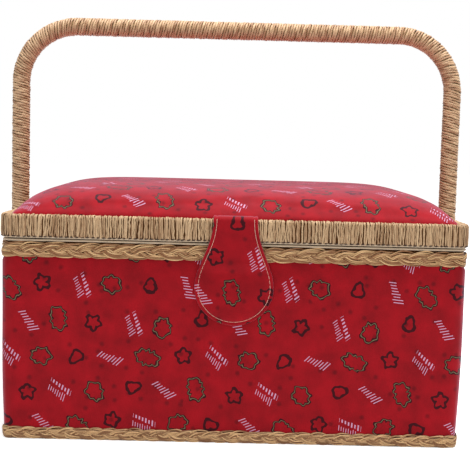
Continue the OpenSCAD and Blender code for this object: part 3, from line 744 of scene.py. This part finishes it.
def plait(name, low, high, reach, period, wide, thin, seed, finish, node):
    """A flat braid of three strands round the case, each strand of five straws side by side."""
    size = sizes()
    w, d = breadth(CASE_LOW, CASE_HIGH)
    total = perimeter(w, d, size.case_corner)
    turns = round(total / period)
    straws = 5
    apart = 1.95
    s = np.linspace(0, total, round(total / (1.5 * MM)), endpoint=False)[None]
    strand, straw_no = (a[:, None] for a in np.divmod(np.arange(3 * straws), straws))
    loose = wanders(s, total, 23 * MM, seed, 3 * straws)

    # The middle line of a strand, a wave made flatter at its turns, and how steeply it climbs
    phase = TURN * (turns * s / total + strand / 3)
    swing = (high - low) / 2 - (straws - 1) / 2 * apart * wide - wide
    flat = 0.1
    climb = swing * (np.cos(phase) + 3 * flat * np.cos(3 * phase)) * TURN * turns / total
    over = np.hypot(climb, 1)
    risen = (low + high) / 2 + swing * (np.sin(phase) + flat * np.sin(3 * phase)) / (1 - flat)

    # Each straw beside that line, one strand over the other where they cross, and rounded over as one strand
    fan = (straw_no - (straws - 1) / 2) * apart * wide * (1 + 0.15 * loose)
    along = s - fan * climb / over
    up = risen + fan / over + 0.16 * MM * loose
    depth = reach / 2 + (reach / 2 - thin) * 0.9 * np.sin(2 * phase) + 0.1 * MM * loose[::-1]
    depth = depth + 0.22 * MM * np.cos(math.pi * (straw_no + 0.5) / straws * 2 - math.pi)
    centre, _ = off_wall(w, d, size.case_corner, along, depth, up)
    rise = np.broadcast_to(np.array([0.0, 0.0, 1.0]), centre.shape)
    tone = 0.02 + 0.96 * np.random.default_rng(seed).random((3 * straws, 1)) + 0.4 * loose[::-1]
    tone = np.clip(tone, 0, 1)
    half, flat_half = wide * (1 + 0.1 * loose), np.full_like(up, thin)
    piece = swept(name, centre, rise, half, flat_half, 6, closed=True, tone=tone)
    finish_piece(piece, finish, "straw_braid", "case", node)


def braids():
    """The upper and the lower braid, and behind each a dark band of painted shade that shows in the braid's
    gaps.
    """
    size = sizes()
    low, high = UPPER_LOW.z - 1.2 * MM, UPPER_HIGH.z
    reach, wide, thin = 2.6 * MM, 0.5 * MM, 0.46 * MM
    plait("upper_plait", low, high, reach, size.plait_length, wide, thin, 11, "plait_straw", "top_braid")
    low, high = LOWER_LOW.z + 0.2 * MM, LOWER_HIGH.z
    reach, wide, thin = 1.3 * MM, 0.44 * MM, 0.34 * MM
    plait("lower_plait", low, high, reach, size.foot_length, wide, thin, 31, "foot_straw", "base_braid")
    sunk = -0.3 * MM
    # Dark bands behind the braids are painted shade in their gaps; the upper one reaches above its braid as a
    # painted shadow line
    backs = (
        ("upper_backing", UPPER_LOW.z - 0.6 * MM, UPPER_HIGH.z + 0.55 * MM, 0.25 * MM),
        ("lower_backing", LOWER_LOW.z + 0.3 * MM, LOWER_HIGH.z - 0.8 * MM, 0.2 * MM),
    )
    for name, low, high, proud in backs:
        section = [(sunk, low), (proud, low), (proud, high), (sunk, high)]
        piece = band(name, *breadth(CASE_LOW, CASE_HIGH), size.case_corner, section)
        finish_piece(piece, "backing_tape", "straw_braid", "case")


def rim_section(z0, z1, deep):
    """The way of a straw over the frame, (outward, height) points from its outer foot to its inner end."""
    turn = np.radians([0, 45, 90])
    r = 1.5 * MM
    top = z1 - 0.45 * MM
    back = -deep + 0.6 * MM
    lift = np.array([0, 1.0, 3.2, 5.7, 8.2, 10.7]) * MM
    up = list(zip(np.array([-0.75, -0.5, -0.42, -0.4, -0.42, -0.46]) * MM, z0 + lift))
    outer = [(-0.45 * MM - r * (1 - math.cos(t)), top - r * (1 - math.sin(t))) for t in turn]
    inner = [(back + r * (1 - math.sin(t)), top - r * (1 - math.cos(t))) for t in turn]
    return np.array(up + outer + inner + [(back, z1 - 3.2 * MM)])


def rim_winding():
    """Straws wound over the frame of the lid, their dark stitching and the core that they lie on."""
    size = sizes()
    w, d = breadth(LID_LOW, LID_HIGH)
    total = perimeter(w, d, size.lid_corner)
    chance = np.random.default_rng(5)
    room, gap_share, gap = 0.94, 0.09, 0.6 * MM
    count = round(total / (room * size.rim_straw))
    widths = size.rim_straw * (0.7 + 0.6 * chance.random(count))
    gaps = np.where(chance.random(count) < gap_share, gap, 0)
    ends = np.cumsum(widths + gaps)
    s = (ends - widths / 2) * total / ends[-1]
    section = rim_section(LID_LOW.z - 0.1 * MM, LID_HIGH.z, size.rim)
    share = np.linspace(1, -1, len(section))
    lean = 0.6 * MM * wander(s, total, 30 * MM, 6) + 0.38 * MM * chance.standard_normal(count)
    bow = 0.26 * MM * chance.standard_normal(count)
    along = s[:, None] + lean[:, None] * share + bow[:, None] * (1 - share**2)
    along = along + 0.15 * MM * chance.standard_normal((count, len(section)))
    sunk = -0.45 * MM * chance.random((count, 1))
    outward, height = section[None, :, 0] + sunk, section[None, :, 1] + sunk
    centre, out = off_wall(w, d, size.lid_corner, along, outward, height)
    tangent = np.stack([out[..., 1], -out[..., 0], np.zeros(out.shape[:2])], -1)
    taper = 1 + 0.22 * chance.standard_normal((count, 1)) * share
    taper = taper + 0.12 * chance.standard_normal((count, len(section)))
    half = widths[:, None] / 2 * np.clip(taper, 0.5, 1.5)
    tone = 0.55 + 0.22 * chance.standard_normal((count, 1)) + 0.15 * wander(s, total, 30 * MM, 8)[:, None]
    tone = np.clip(tone + 0.12 * chance.standard_normal((count, len(section))), 0, 1)
    piece = swept("rim_winding", centre, tangent, half, 0.8 * half, 6, tone=tone)
    finish_piece(piece, "rim_straw", "straw_winding", "lid", "lid_winding")
    rim_core()
    rim_stitches(chance)


def rim_core():
    """The core under the straws, whose gaps show it; its dark colour is painted shade in those gaps."""
    size = sizes()
    deep, hole = 0.9 * MM, size.rim - 0.7 * MM

    def inside(name, inset, z0, z1, edge):
        """A block that stands so far inside the outline of the frame."""
        low, high = (LID_LOW.x + inset, LID_LOW.y + inset, z0), (LID_HIGH.x - inset, LID_HIGH.y - inset, z1)
        return block(name, low, high, size.lid_corner - inset, edge)

    core = inside("rim_core", deep, HEM_HIGH.z - 0.6 * MM, LID_HIGH.z - deep, 1.2 * MM)
    cut(core, inside("rim_hole", hole, 0, 1, 0))
    lay_uv(core, points_of(core)[:, :2])
    finish_piece(core, "straw_core", "straw_winding", "lid")


def rim_stitches(chance):
    """Dark stitches that hold the straws along the lower edge of the frame."""
    size = sizes()
    w, d = breadth(LID_LOW, LID_HIGH)
    total = perimeter(w, d, size.lid_corner)
    count = round(total / size.dash)
    s = (np.arange(count) + 0.25 * chance.random(count)) * total / count
    reach = size.dash * (0.3 + 0.1 * chance.random(count))
    steps = np.array([-1, -0.5, 0.5, 1])
    along = s[:, None] + reach[:, None] * steps
    outward = np.array([-0.9, -0.5, -0.5, -0.9]) * MM
    height = LID_LOW.z - (0.2 + 0.2 * chance.random((count, 1))) * MM + 0.12 * MM * steps
    centre, _ = off_wall(w, d, size.lid_corner, along, outward, height)
    rise = np.broadcast_to(np.array([0.0, 0.0, 1.0]), centre.shape)
    thick = np.broadcast_to(np.array([0.25, 0.5, 0.5, 0.25]) * MM, (count, 4))
    piece = swept("rim_stitches", centre, rise, thick, 0.8 * thick, 5)
    finish_piece(piece, "dark_thread", "straw_winding", "lid")


def tape_stray(seed, much):
    """How far a soft tape strays from its section along its length."""

    def stray(s, section, total):
        out = much * wander(s, total, 70 * MM, seed) + 0 * section[..., 0]
        up = 0.6 * much * wander(s, total, 110 * MM, seed + 1) + 0 * section[..., 1]
        return np.stack([out, up], -1)

    return stray


def rounded_tape(outer, z0, z1, inner, inner_z0):
    """Section of a soft tape with a rounded outer edge, (outward, height) from its lower inner point."""
    r = (z1 - z0) / 2
    turn = np.radians(np.linspace(-80, 80, 7))
    nose = [(outer - r + r * math.cos(t), (z0 + z1) / 2 + r * math.sin(t)) for t in turn]
    return [(inner, inner_z0), *nose, (inner, z1)]


def tapes():
    """The pale tapes that bind the top of the walls and hem the lid."""
    size = sizes()
    over = BINDING_HIGH.x - CASE_HIGH.x
    low, high = BINDING_LOW.z + 0.45 * MM, BINDING_HIGH.z - 0.15 * MM
    section = rounded_tape(over, low, high, -5.9 * MM, BINDING_LOW.z)
    w, d = breadth(CASE_LOW, CASE_HIGH)
    binding = band("case_tape", w, d, size.case_corner, section, tape_stray(41, 0.1 * MM))
    finish_piece(binding, "tape_cotton", "binding", "case", "case_binding")
    under = HEM_HIGH.x - LID_HIGH.x
    low = HEM_LOW.z + 0.1 * MM
    section = rounded_tape(under, low, HEM_HIGH.z, -8.9 * MM, low)
    w, d = breadth(LID_LOW, LID_HIGH)
    hem = band("lid_tape", w, d, size.lid_corner, section, tape_stray(43, 0.12 * MM))
    finish_piece(hem, "tape_cotton", "binding", "lid", "lid_hem")


def handle_way(s, leg_x, bend, low, top):
    """Middle line of the handle at lengths along it, its ways out and ahead, in X and Z, and its length."""
    leg, arc, bar = top - bend - low, bend * math.pi / 2, 2 * (leg_x - bend)
    runs = np.cumsum([0, leg, arc, bar, arc, leg])
    k = np.clip(np.searchsorted(runs, s, "right") - 1, 0, 4)
    t = s - runs[k]
    level, upright = np.full_like(s, math.pi), np.full_like(s, math.pi / 2)
    angle = np.choose(k, [level, math.pi - t / bend, upright, math.pi / 2 - t / bend, 0 * s])
    out = np.stack([np.cos(angle), np.sin(angle)], -1)
    ahead = np.stack([out[..., 1], -out[..., 0]], -1)
    hub = np.stack([np.where(k < 2, bend - leg_x, leg_x - bend), 0 * s + top - bend], -1)
    bent = hub + bend * out
    starts = np.array([[-leg_x, low], [0, 0], [bend - leg_x, top], [0, 0], [leg_x, top - bend]])
    places = np.where((k % 2 == 1)[..., None], bent, starts[k] + ahead * t[..., None])
    return places, out, ahead, runs[-1]


def handle_winding():
    """Five straws side by side, wound round the bent rod from one end to the other."""
    size = sizes()
    wound = (WOUND_HIGH.y - WOUND_LOW.y) / 2
    leg_x, top = WOUND_HIGH.x - wound, WOUND_HIGH.z - wound
    low = WOUND_LOW.z + 0.4 * MM
    total = handle_way(np.zeros(1), leg_x, size.bend, low, top)[3]
    straws = 5
    advance = straws * size.handle_straw
    rings = 16
    s = np.linspace(0, total, round(total / advance * rings))[None] + np.zeros((straws, 1))
    loose = wanders(s[:1], total, 11 * MM, 50, straws)
    patch = wanders(s[:1], total, 3.1 * MM, 70, straws)
    shift = wanders(s[:1], total, 2.7 * MM, 90, straws)
    phase = TURN * (s / advance + np.arange(straws)[:, None] / straws)
    drawn = s + 0.16 * MM * loose + 0.16 * MM * shift
    place, out, ahead, _ = handle_way(np.clip(drawn, 0, total - 1e-6), leg_x, size.bend, low, top)
    thin = 0.62 * MM
    reach = wound + 0.5 * MM - thin - 0.12 * MM * (1 + loose)
    flat = place + (reach * np.cos(phase))[..., None] * out
    centre = np.stack([flat[..., 0], reach * np.sin(phase), flat[..., 1]], -1)
    back = -np.stack([ahead[..., 0], 0 * s, ahead[..., 1]], -1)
    half = size.handle_straw / 2 * (0.96 + 0.15 * patch)
    own = np.random.default_rng(21).standard_normal((straws, 1))
    tone = np.clip(0.6 + 0.3 * patch + 0.2 * loose + 0.1 * own, 0, 1)

    # Painted red bounce light and reflection from the red lid, on the inner side and mostly under the bar
    inner = np.clip(0.15 - np.cos(phase), 0, 1) ** 1.3
    blush = 0.6 * inner * (0.06 + 0.94 * np.clip(out[..., 1], 0, 1))
    piece = swept("handle_straw", centre, back, half, np.full_like(half, thin), 6, tone=tone, blush=blush)
    finish_piece(piece, "handle_straw", "straw_winding", "handle", "handle_winding")


def crown_height(x, y, w, d):
    """Share of the crown's height over a place, from its two swelling sections."""

    def swell(t, fullness):
        return (1 - np.minimum(1, np.abs(2 * t) ** fullness)) ** 0.7

    return swell(x / w, 8) * swell(y / d, 6)


def crown():
    """The padded crown: printed cotton over wadding, blown up as cloth and then laid out for the print."""
    low, high = CROWN_LOW, CROWN_HIGH
    proud, brim = 2.4 * MM, 2 * MM
    w, d = (side + proud for side in breadth(low, high))
    edge_z = LID_HIGH.z - 0.8 * MM
    rise = high.z - edge_z
    puff = 2.2 * MM
    piece = unit_grid("crown", 72, 54)
    at = points_of(piece)
    for axis, side in ((0, w), (1, d)):
        at[:, axis] = np.sin(np.clip(at[:, axis], -0.5, 0.5) * math.pi) / 2 * (side + 2 * brim)
    x, y = at[:, 0], at[:, 1]
    share = crown_height(x, y, w, d)
    at[:, 2] = edge_z + rise * share
    near = 0.5 * MM
    slope = [
        (crown_height(x + dx, y + dy, w, d) - crown_height(x - dx, y - dy, w, d)) * rise / (2 * near)
        for dx, dy in ((near, 0), (0, near))
    ]
    at -= puff * share[:, None] * unit(np.stack([-slope[0], -slope[1], np.ones(len(at))], -1))
    set_points(piece, at)
    close_below(low.z, [(side - 2.4 * proud) / (side + 2 * brim) for side in (w, d)])
    modify(piece, "REMESH", mode="VOXEL", voxel_size=4.0 * MM)
    if puff:
        at = points_of(piece)
        blow_up(piece, puff * (crown_height(at[:, 0], at[:, 1], w, d) * (at[:, 2] > edge_z)))
    modify(piece, "SUBSURF", levels=1, render_levels=1)
    crown_print(piece, w, d, rise)
    piece.data.shade_smooth()
    finish_piece(piece, "printed_cotton", "printed_cloth", "lid", "lid_cushion")


def blow_up(piece, most):
    """Inflates a closed piece as cloth, and lets each of its points move outward by no more than its most."""
    scene = bpy.context.scene
    before = points_of(piece)
    outward = np.array([v.normal for v in piece.data.vertices])
    pick(piece)
    cloth = piece.modifiers.new("Cloth", "CLOTH")
    cloth.settings.quality = 6
    cloth.settings.mass = 0.2
    cloth.settings.use_pressure = True
    cloth.settings.uniform_pressure_force = 4.0
    cloth.settings.effector_weights.gravity = 0
    cloth.collision_settings.use_collision = False
    frames = 20
    cloth.point_cache.frame_start, cloth.point_cache.frame_end = 1, frames
    for number in range(1, frames + 1):
        scene.frame_set(number)
    after = points_of(piece.evaluated_get(bpy.context.evaluated_depsgraph_get()))
    bpy.ops.object.modifier_apply(modifier=cloth.name)
    scene.frame_set(1)
    swell = np.clip(((after - before) * outward).sum(1), 0, most)
    set_points(piece, before + swell[:, None] * outward)


def crown_print(piece, w, d, rise):
    """Lays the print by lengths along the crown's surface, so that motifs on its flanks aren't drawn out."""
    at = points_of(piece)
    count = 60
    steps = np.linspace(0, 1, count + 1)
    flat = []
    for axis in (0, 1):
        x = at[:, 0][:, None] * (steps if axis == 0 else 1)
        y = at[:, 1][:, None] * (steps if axis == 1 else 1)
        z = rise * crown_height(x, y, w, d)
        run = np.abs(at[:, axis])[:, None] / count
        flat.append(np.sign(at[:, axis]) * np.hypot(run, np.diff(z, axis=1)).sum(1))
    lay_uv(piece, np.stack(flat, -1))


def tab_half(z, top, bulb, widest):
    """Half the width of the tab at a height."""
    size = sizes()
    neck = size.tab_neck / 2
    t = np.clip((top - z) / (top - bulb), 0, 1)
    flank = (1 - np.cos(math.pi * t**1.15)) / 2
    end = np.sqrt(np.clip(1 - ((bulb - z) / size.tab_end) ** 2, 0, 1))
    return np.where(z >= bulb, neck + (widest - neck) * flank, widest * end)


def tab_shape():
    """The tab's back line as (y, z, way out in y and z), its lengths, its top, bulb and half width."""
    size = sizes()
    gap = 0.35 * MM
    fold = 1.8 * MM
    top = LID_HIGH.z + gap
    front = LID_LOW.y - gap
    wall = CASE_LOW.y - gap - 0.1 * MM
    bulb = TAB_LOW.z + size.tab_end
    root = CROWN_LOW.y + 0.3 * MM
    line = [(y, top, 0.0, 1.0) for y in np.linspace(root, front + fold, 8)]
    for turn in np.radians(np.linspace(90, 180, 8))[1:]:
        c, s = math.cos(turn), math.sin(turn)
        line.append((front + fold + fold * c, top - fold + fold * s, c, s))
    high, low = UPPER_LOW.z, UPPER_LOW.z - 10 * MM
    hang = list(np.linspace(top - fold, bulb, 36)[1:])
    hang += [bulb - size.tab_end * math.sin(a) for a in np.radians(np.linspace(0, 88.5, 34))[1:]]
    for z in hang:
        t = min(1, max(0, (z - low) / (high - low)))
        line.append((wall + (front - wall) * t * t * (3 - 2 * t), z, -1.0, 0.0))
    line = np.array(line)
    return line, run_along(line[:, :2]), top, bulb, TAB_HIGH.x


def tab_front(x, z, top, bulb, widest):
    """How far the face of the tab stands out from its back at a place, with its flat sewn edge."""
    size = sizes()
    half = tab_half(z, top, bulb, widest)
    side = half - np.abs(x)
    ray = np.hypot(x / widest, (bulb - z) / size.tab_end)
    inside = np.where(z >= bulb, side, (1 - ray) * size.tab_end)
    seam = 2.3 * MM
    edge = 0.65 * MM + 0.65 * MM * np.clip(inside / (0.5 * MM), 0, 1) ** 0.5
    swell = np.clip((inside - seam) / (7 * MM), 0, 1)
    groove = 0.3 * MM * np.exp(-(((inside - seam) / (0.7 * MM)) ** 2))
    fall = np.clip((top - z - 2 * MM) / (26 * MM), 0, 1)
    return edge + 1.4 * MM * np.sin(swell * math.pi / 2) ** 0.8 * fall - groove, inside


def tab():
    """The padded tab: two printed cloths over wadding, sewn together inside their edge."""
    line, run, top, bulb, widest = tab_shape()
    across = np.sin(np.linspace(-1, 1, 33) * math.pi / 2)
    half = tab_half(line[:, 1], top, bulb, widest)
    x = half[:, None] * across[None]
    z = np.broadcast_to(line[:, 1][:, None], x.shape)
    out, inside = tab_front(x, z, top, bulb, widest)
    rim = 0.5 * MM
    back = np.where(inside < rim, 0.45 * MM * (1 - np.clip(inside / rim, 0, 1)), 0)
    base, way = line[:, None, :2], line[:, None, 2:]
    rings = []
    for off in (back, out):
        lie = base + off[..., None] * way
        rings.append(np.stack([x, lie[..., 0], lie[..., 1]], -1))
    points = np.concatenate([rings[0], rings[1][:, ::-1]], 1)
    flat = np.stack([x, -np.broadcast_to(run[:, None], x.shape)], -1)
    uv = np.concatenate([flat, flat[:, ::-1]], 1)
    piece = grid_piece("tab", points[::-1], uv[::-1], round_rows=True)
    pick(piece)
    bpy.ops.object.mode_set(mode="EDIT")
    bpy.ops.mesh.select_all(action="DESELECT")
    bpy.ops.mesh.select_non_manifold()
    bpy.ops.mesh.fill()
    bpy.ops.mesh.select_all(action="SELECT")
    bpy.ops.mesh.normals_make_consistent(inside=False)
    bpy.ops.object.mode_set(mode="OBJECT")
    finish_piece(piece, "printed_cotton", "printed_cloth", None, "tab_cloth")
    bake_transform(piece)

    stitches = tab_stitches(line, top, bulb, widest)
    finish_piece(stitches, "cream_thread", "binding", None)
    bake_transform(stitches)
    magnet_cap()


def tab_stitches(line, top, bulb, widest):
    """Running stitches in cream thread along the tab's edge."""
    size = sizes()
    inset = 2.3 * MM
    end = size.tab_end - inset
    curve = bulb - end * np.sin(np.linspace(0, math.pi / 2, 200))[1:]
    z = np.concatenate([np.linspace(top - 0.5 * MM, bulb, 200), curve])
    x = tab_half(z, top, bulb, widest) - inset
    below = z < bulb
    x[below] = (widest - inset) * np.sqrt(np.clip(1 - ((bulb - z[below]) / end) ** 2, 0, 1))
    x, z = np.concatenate([-x, x[::-1]]), np.concatenate([z, z[::-1]])
    order = np.argsort(line[:, 1])
    y = np.interp(z, line[order, 1], line[order, 0])
    out, _ = tab_front(x, z, top, bulb, widest)
    path = np.stack([x, y - out, z], -1)
    steps = run_along(path)
    count = round(steps[-1] / size.stitch)
    ring = np.array([-1, -0.6, 0, 0.6, 1])
    at = (np.arange(count)[:, None] + 0.5) * size.stitch + 0.49 * size.stitch * ring
    centre = np.stack([np.interp(at, steps, path[:, k]) for k in range(3)], -1)
    centre[..., 1] -= (0.22 - 0.16 * np.abs(ring) ** 5) * MM
    front = np.broadcast_to(np.array([0.0, -1.0, 0.0]), centre.shape)
    wide = np.cross(front, unit(np.gradient(centre, axis=1)))
    thick = np.broadcast_to(np.array([0.12, 0.17, 0.17, 0.17, 0.12]) * MM, at.shape)
    return swept("tab_stitches", centre, wide, thick, 0.8 * thick, 6)


def magnet_cap():
    """A pressed steel cap over the tab's magnet, let into the back of the tab."""
    radius, thick = 6.9 * MM, 1.4 * MM
    face = CASE_LOW.y - 0.28 * MM
    place = (0, face - 0.7 * MM, ((MAGNET_LOW + MAGNET_HIGH) / 2).z)
    bpy.ops.object.select_all(action="DESELECT")
    bpy.ops.mesh.primitive_cylinder_add(
        vertices=48, radius=radius, depth=thick, location=place, rotation=(math.pi / 2, 0, 0)
    )
    piece = bpy.context.object
    piece.name = "magnet_cap"
    bpy.ops.object.transform_apply(location=True, rotation=True, scale=True)
    bpy.ops.object.mode_set(mode="EDIT")
    bpy.ops.mesh.select_all(action="DESELECT")
    shape = bmesh.from_edit_mesh(piece.data)
    for f in shape.faces:
        f.select_set(f.normal.y > 0.9)
    bmesh.update_edit_mesh(piece.data)

    # A rim, a step down, a level ring and a second step down
    for inward, down in ((1.3, 0), (0.3, 0.35), (3.2, 0), (0.3, 0.3)):
        bpy.ops.mesh.inset(thickness=inward * MM, depth=-down * MM)
    bpy.ops.object.mode_set(mode="OBJECT")
    modify(piece, "BEVEL", width=0.12 * MM, segments=2, limit_method="ANGLE")
    pick(piece)
    bpy.ops.object.shade_smooth_by_angle(angle=math.radians(35))
    finish_piece(piece, "plated_steel", "steel", "tab", "tab_magnet")


def lining_relief(s, z, total):
    """Waves of the loose lining, which only lift it off the walls."""
    return 0.12 * MM * (1 + wander(s, total, 40 * MM, 9)) + 0.08 * MM * np.sin(z / (9 * MM))


def linings():
    """The wall lining, the padded base lining, the lining of the lid and the sheet under the base."""
    w, d = breadth(LINING_LOW, LINING_HIGH)
    slack, r = 1 * MM, 1.5 * MM
    low, high = LINING_LOW.z, LINING_HIGH.z
    wall = wall_sheet("wall_lining", w - slack, d - slack, r, low, high, lining_relief, inward=True)
    modify(wall, "SOLIDIFY", thickness=0.4 * MM, offset=-1)
    finish_piece(wall, "lining_cotton", "lining_cloth", "case", "side_lining")

    pad = quilt("base_pad", PAD_LOW, PAD_HIGH, 0.9 * MM)
    finish_piece(pad, "lining_cotton", "lining_cloth", "case", "base_lining")

    under = soft_panel("lid_under", UNDER_LOW, UNDER_HIGH, 0.12 * MM)
    finish_piece(under, "lining_cotton", "lining_cloth", "lid", "lid_lining")
    foot = soft_panel("foot_cover", FOOT_LOW, FOOT_HIGH, 0.0)
    finish_piece(foot, "foot_felt", "lining_cloth", "case", "foot_sheet")


def soft_panel(name, low, high, ripple):
    """A flat sheet of cloth that ripples a little."""
    piece = unit_grid(name, 70, 54)
    at = points_of(piece)
    at[:, :2] *= breadth(low, high)
    x, y = at[:, 0], at[:, 1]
    wave = np.sin(x / (13 * MM) + 2 * np.sin(y / (41 * MM))) * np.sin(y / (19 * MM))
    at[:, 2] = high.z - ripple * (1 + wave)
    set_points(piece, at)
    modify(piece, "SOLIDIFY", thickness=(high.z - low.z) - 2 * ripple, offset=-1)
    lay_uv(piece, points_of(piece)[:, :2])
    piece.data.shade_smooth()
    return piece


def quilt(name, low, high, puff):
    """A thin padded panel sewn in diamonds, flat below and puffed between its lines of stitches."""
    pitch, border = 32 * MM, 6 * MM
    w, d = breadth(low, high)
    piece = unit_grid(name, 150, 110)
    at = points_of(piece)
    at[:, :2] *= w, d
    x, y = at[:, 0], at[:, 1]
    lines = np.minimum(*(np.abs(np.sin(math.pi * slanted / pitch)) for slanted in (x + y, x - y)))
    edge = np.minimum(w / 2 - np.abs(x), d / 2 - np.abs(y))
    lines = np.minimum(lines, np.clip(edge / border, 0, 1))
    at[:, 2] = high.z - puff * (1 - lines**0.5)
    set_points(piece, at)
    close_below(low.z)
    lay_uv(piece, points_of(piece)[:, :2])
    piece.data.shade_smooth()
    return piece


def hardware():
    """Materials of the nodes that keep their own shape."""
    for slot, finish in (("steel", "plated_steel"), ("board", "grey_board"), ("rod_wood", "bent_cane")):
        for row in frame["record"]["subparts"]:
            if row["material_slot"] == slot:
                node = frame["nodes"][row["node"]]
                node.data.materials.clear()
                node.data.materials.append(bpy.data.materials[finish])


# Stage

PHOTO = 470
FOCAL_PX = 1064
SENSOR_MM = 36
EYE = Vector((-8.6, -794.8, 199.5)) * MM
YAW, PITCH, ROLL = (math.radians(a) for a in (0.70, 5.22, -1.5))


def camera():
    """A camera at the photograph's angle, turned a little so that level lines fall to the right."""
    ahead = Vector((math.sin(YAW) * math.cos(PITCH), math.cos(YAW) * math.cos(PITCH), -math.sin(PITCH)))
    right = Vector((math.cos(YAW), -math.sin(YAW), 0))
    down = ahead.cross(right)
    across = right * math.cos(ROLL) + down * math.sin(ROLL)
    up = right * math.sin(ROLL) - down * math.cos(ROLL)
    data = bpy.data.cameras.new("camera")
    data.sensor_width = SENSOR_MM
    data.lens = FOCAL_PX / PHOTO * SENSOR_MM
    data.clip_start, data.clip_end = 0.05, 20
    made = new_object("camera", data)
    made.matrix_world = Matrix.Translation(EYE) @ Matrix((across, up, -ahead)).transposed().to_4x4()
    bpy.context.scene.camera = made


def seen_white(tree):
    """One where a ray comes from the camera or by way of gloss or glass, and nothing elsewhere."""
    path = add(tree, "LightPath").outputs
    seen = add(tree, "Math", [path["Is Camera Ray"], path["Is Glossy Ray"]], operation="ADD")
    return add(tree, "Math", [seen, path["Is Transmission Ray"]], operation="ADD", use_clamp=True)


def lamp(name, place, aim, size, power):
    """A soft square lamp that looks at a point."""
    data = bpy.data.lights.new(name, "AREA")
    data.shape, data.size, data.energy = "SQUARE", size, power
    made = new_object(name, data)
    made.location = place
    made.rotation_euler = (Vector(aim) - Vector(place)).to_track_quat("-Z", "Y").to_euler()


def stage():
    """A pale floor, a white surround, soft lamps and the camera."""
    bpy.context.scene.view_settings.view_transform = "Standard"
    white, pale_floor = (1, 1, 1, 1), (0.86, 0.86, 0.86, 1)
    bpy.ops.object.select_all(action="DESELECT")
    bpy.ops.mesh.primitive_plane_add(size=12, location=(0, 0, 0))
    floor = bpy.context.object
    floor.name = "floor"
    matt = {"Roughness": 0.9, "Specular IOR Level": 0.0, "Base Color": pale_floor}
    tree, shader = material("floor_paint", {**matt, "Emission Color": white})
    glow = add(tree, "Math", [seen_white(tree), 0.6], operation="MULTIPLY")
    tree.links.new(glow.outputs[0], shader.inputs["Emission Strength"])
    floor.data.materials.append(bpy.data.materials["floor_paint"])

    world = bpy.data.worlds.new("surround")
    bpy.context.scene.world = world
    world.use_nodes = True
    tree = world.node_tree
    ground = tree.nodes["Background"]
    power = add(tree, "MapRange", {0: seen_white(tree), 3: 0.5, 4: 1.0})
    ground.inputs["Color"].default_value = white
    tree.links.new(power.outputs[0], ground.inputs["Strength"])

    side = 0.8
    lamp("key", (0.45, -1.0, 1.3), (0, 0, 0.12), side, 2.2)
    lamp("top", (0.2, -0.1, 1.5), (0, 0, 0.1), side, 25.5)
    camera()


# Operators, panel and registration


class CarrierPiece:
    """What every operator of the carrier shares."""

    bl_options = {"REGISTER", "UNDO"}
    makes = ()

    def execute(self, context):
        for make in self.makes:
            make()
        return {"FINISHED"}


class CARRIER_OT_finishes(CarrierPiece, bpy.types.Operator):
    """Makes the materials of cloth, straw, wood and metal"""

    bl_idname = "carrier.finishes"
    bl_label = "Finishes"
    makes = (finishes,)


class CARRIER_OT_case(CarrierPiece, bpy.types.Operator):
    """Covers the case with printed cloth and binds it with braids and tape"""

    bl_idname = "carrier.case"
    bl_label = "Case cover, braids and tapes"
    makes = (case_cover, braids, tapes)


class CARRIER_OT_lid(CarrierPiece, bpy.types.Operator):
    """Winds the frame of the lid with straw and pads its crown"""

    bl_idname = "carrier.lid"
    bl_label = "Lid winding and crown"
    makes = (rim_winding, crown)


class CARRIER_OT_tab(CarrierPiece, bpy.types.Operator):
    """Makes the padded tab with its stitches and its magnet"""

    bl_idname = "carrier.tab"
    bl_label = "Closing tab"
    makes = (tab,)


class CARRIER_OT_handle(CarrierPiece, bpy.types.Operator):
    """Winds the handle with straw"""

    bl_idname = "carrier.handle"
    bl_label = "Handle winding"
    makes = (handle_winding,)


class CARRIER_OT_linings(CarrierPiece, bpy.types.Operator):
    """Lines the case and the lid"""

    bl_idname = "carrier.linings"
    bl_label = "Linings"
    makes = (linings,)


class CARRIER_OT_hardware(CarrierPiece, bpy.types.Operator):
    """Finishes the boards, the rod and the metal"""

    bl_idname = "carrier.hardware"
    bl_label = "Boards and hardware"
    makes = (hardware,)


class CARRIER_OT_stage(CarrierPiece, bpy.types.Operator):
    """Sets up the floor, the lamps and the camera"""

    bl_idname = "carrier.stage"
    bl_label = "Stage"
    makes = (stage,)


STEPS = (
    CARRIER_OT_stage,
    CARRIER_OT_finishes,
    CARRIER_OT_case,
    CARRIER_OT_lid,
    CARRIER_OT_tab,
    CARRIER_OT_handle,
    CARRIER_OT_linings,
    CARRIER_OT_hardware,
)


class CARRIER_PT_panel(bpy.types.Panel):
    """Lists the pieces of the carrier, their sizes and their colours"""

    bl_idname = "CARRIER_PT_panel"
    bl_label = "Sewing carrier"
    bl_space_type = "VIEW_3D"
    bl_region_type = "UI"
    bl_category = "Carrier"

    def draw(self, context):
        for group in (context.scene.carrier_sizes, context.scene.carrier_colours):
            box = self.layout.box()
            for key in group.__annotations__:
                box.prop(group, key)
        for step in STEPS:
            self.layout.operator(step.bl_idname)


CLASSES = (CarrierSizes, CarrierColours, *STEPS, CARRIER_PT_panel)


def register():
    for c in CLASSES:
        bpy.utils.register_class(c)
    bpy.types.Scene.carrier_sizes = bpy.props.PointerProperty(type=CarrierSizes)
    bpy.types.Scene.carrier_colours = bpy.props.PointerProperty(type=CarrierColours)


def unregister():
    del bpy.types.Scene.carrier_colours
    del bpy.types.Scene.carrier_sizes
    for c in reversed(CLASSES):
        bpy.utils.unregister_class(c)


def main():
    register()
    for step in STEPS:
        group, name = step.bl_idname.split(".")
        getattr(getattr(bpy.ops, group), name)()


if __name__ == "__main__":
    main()
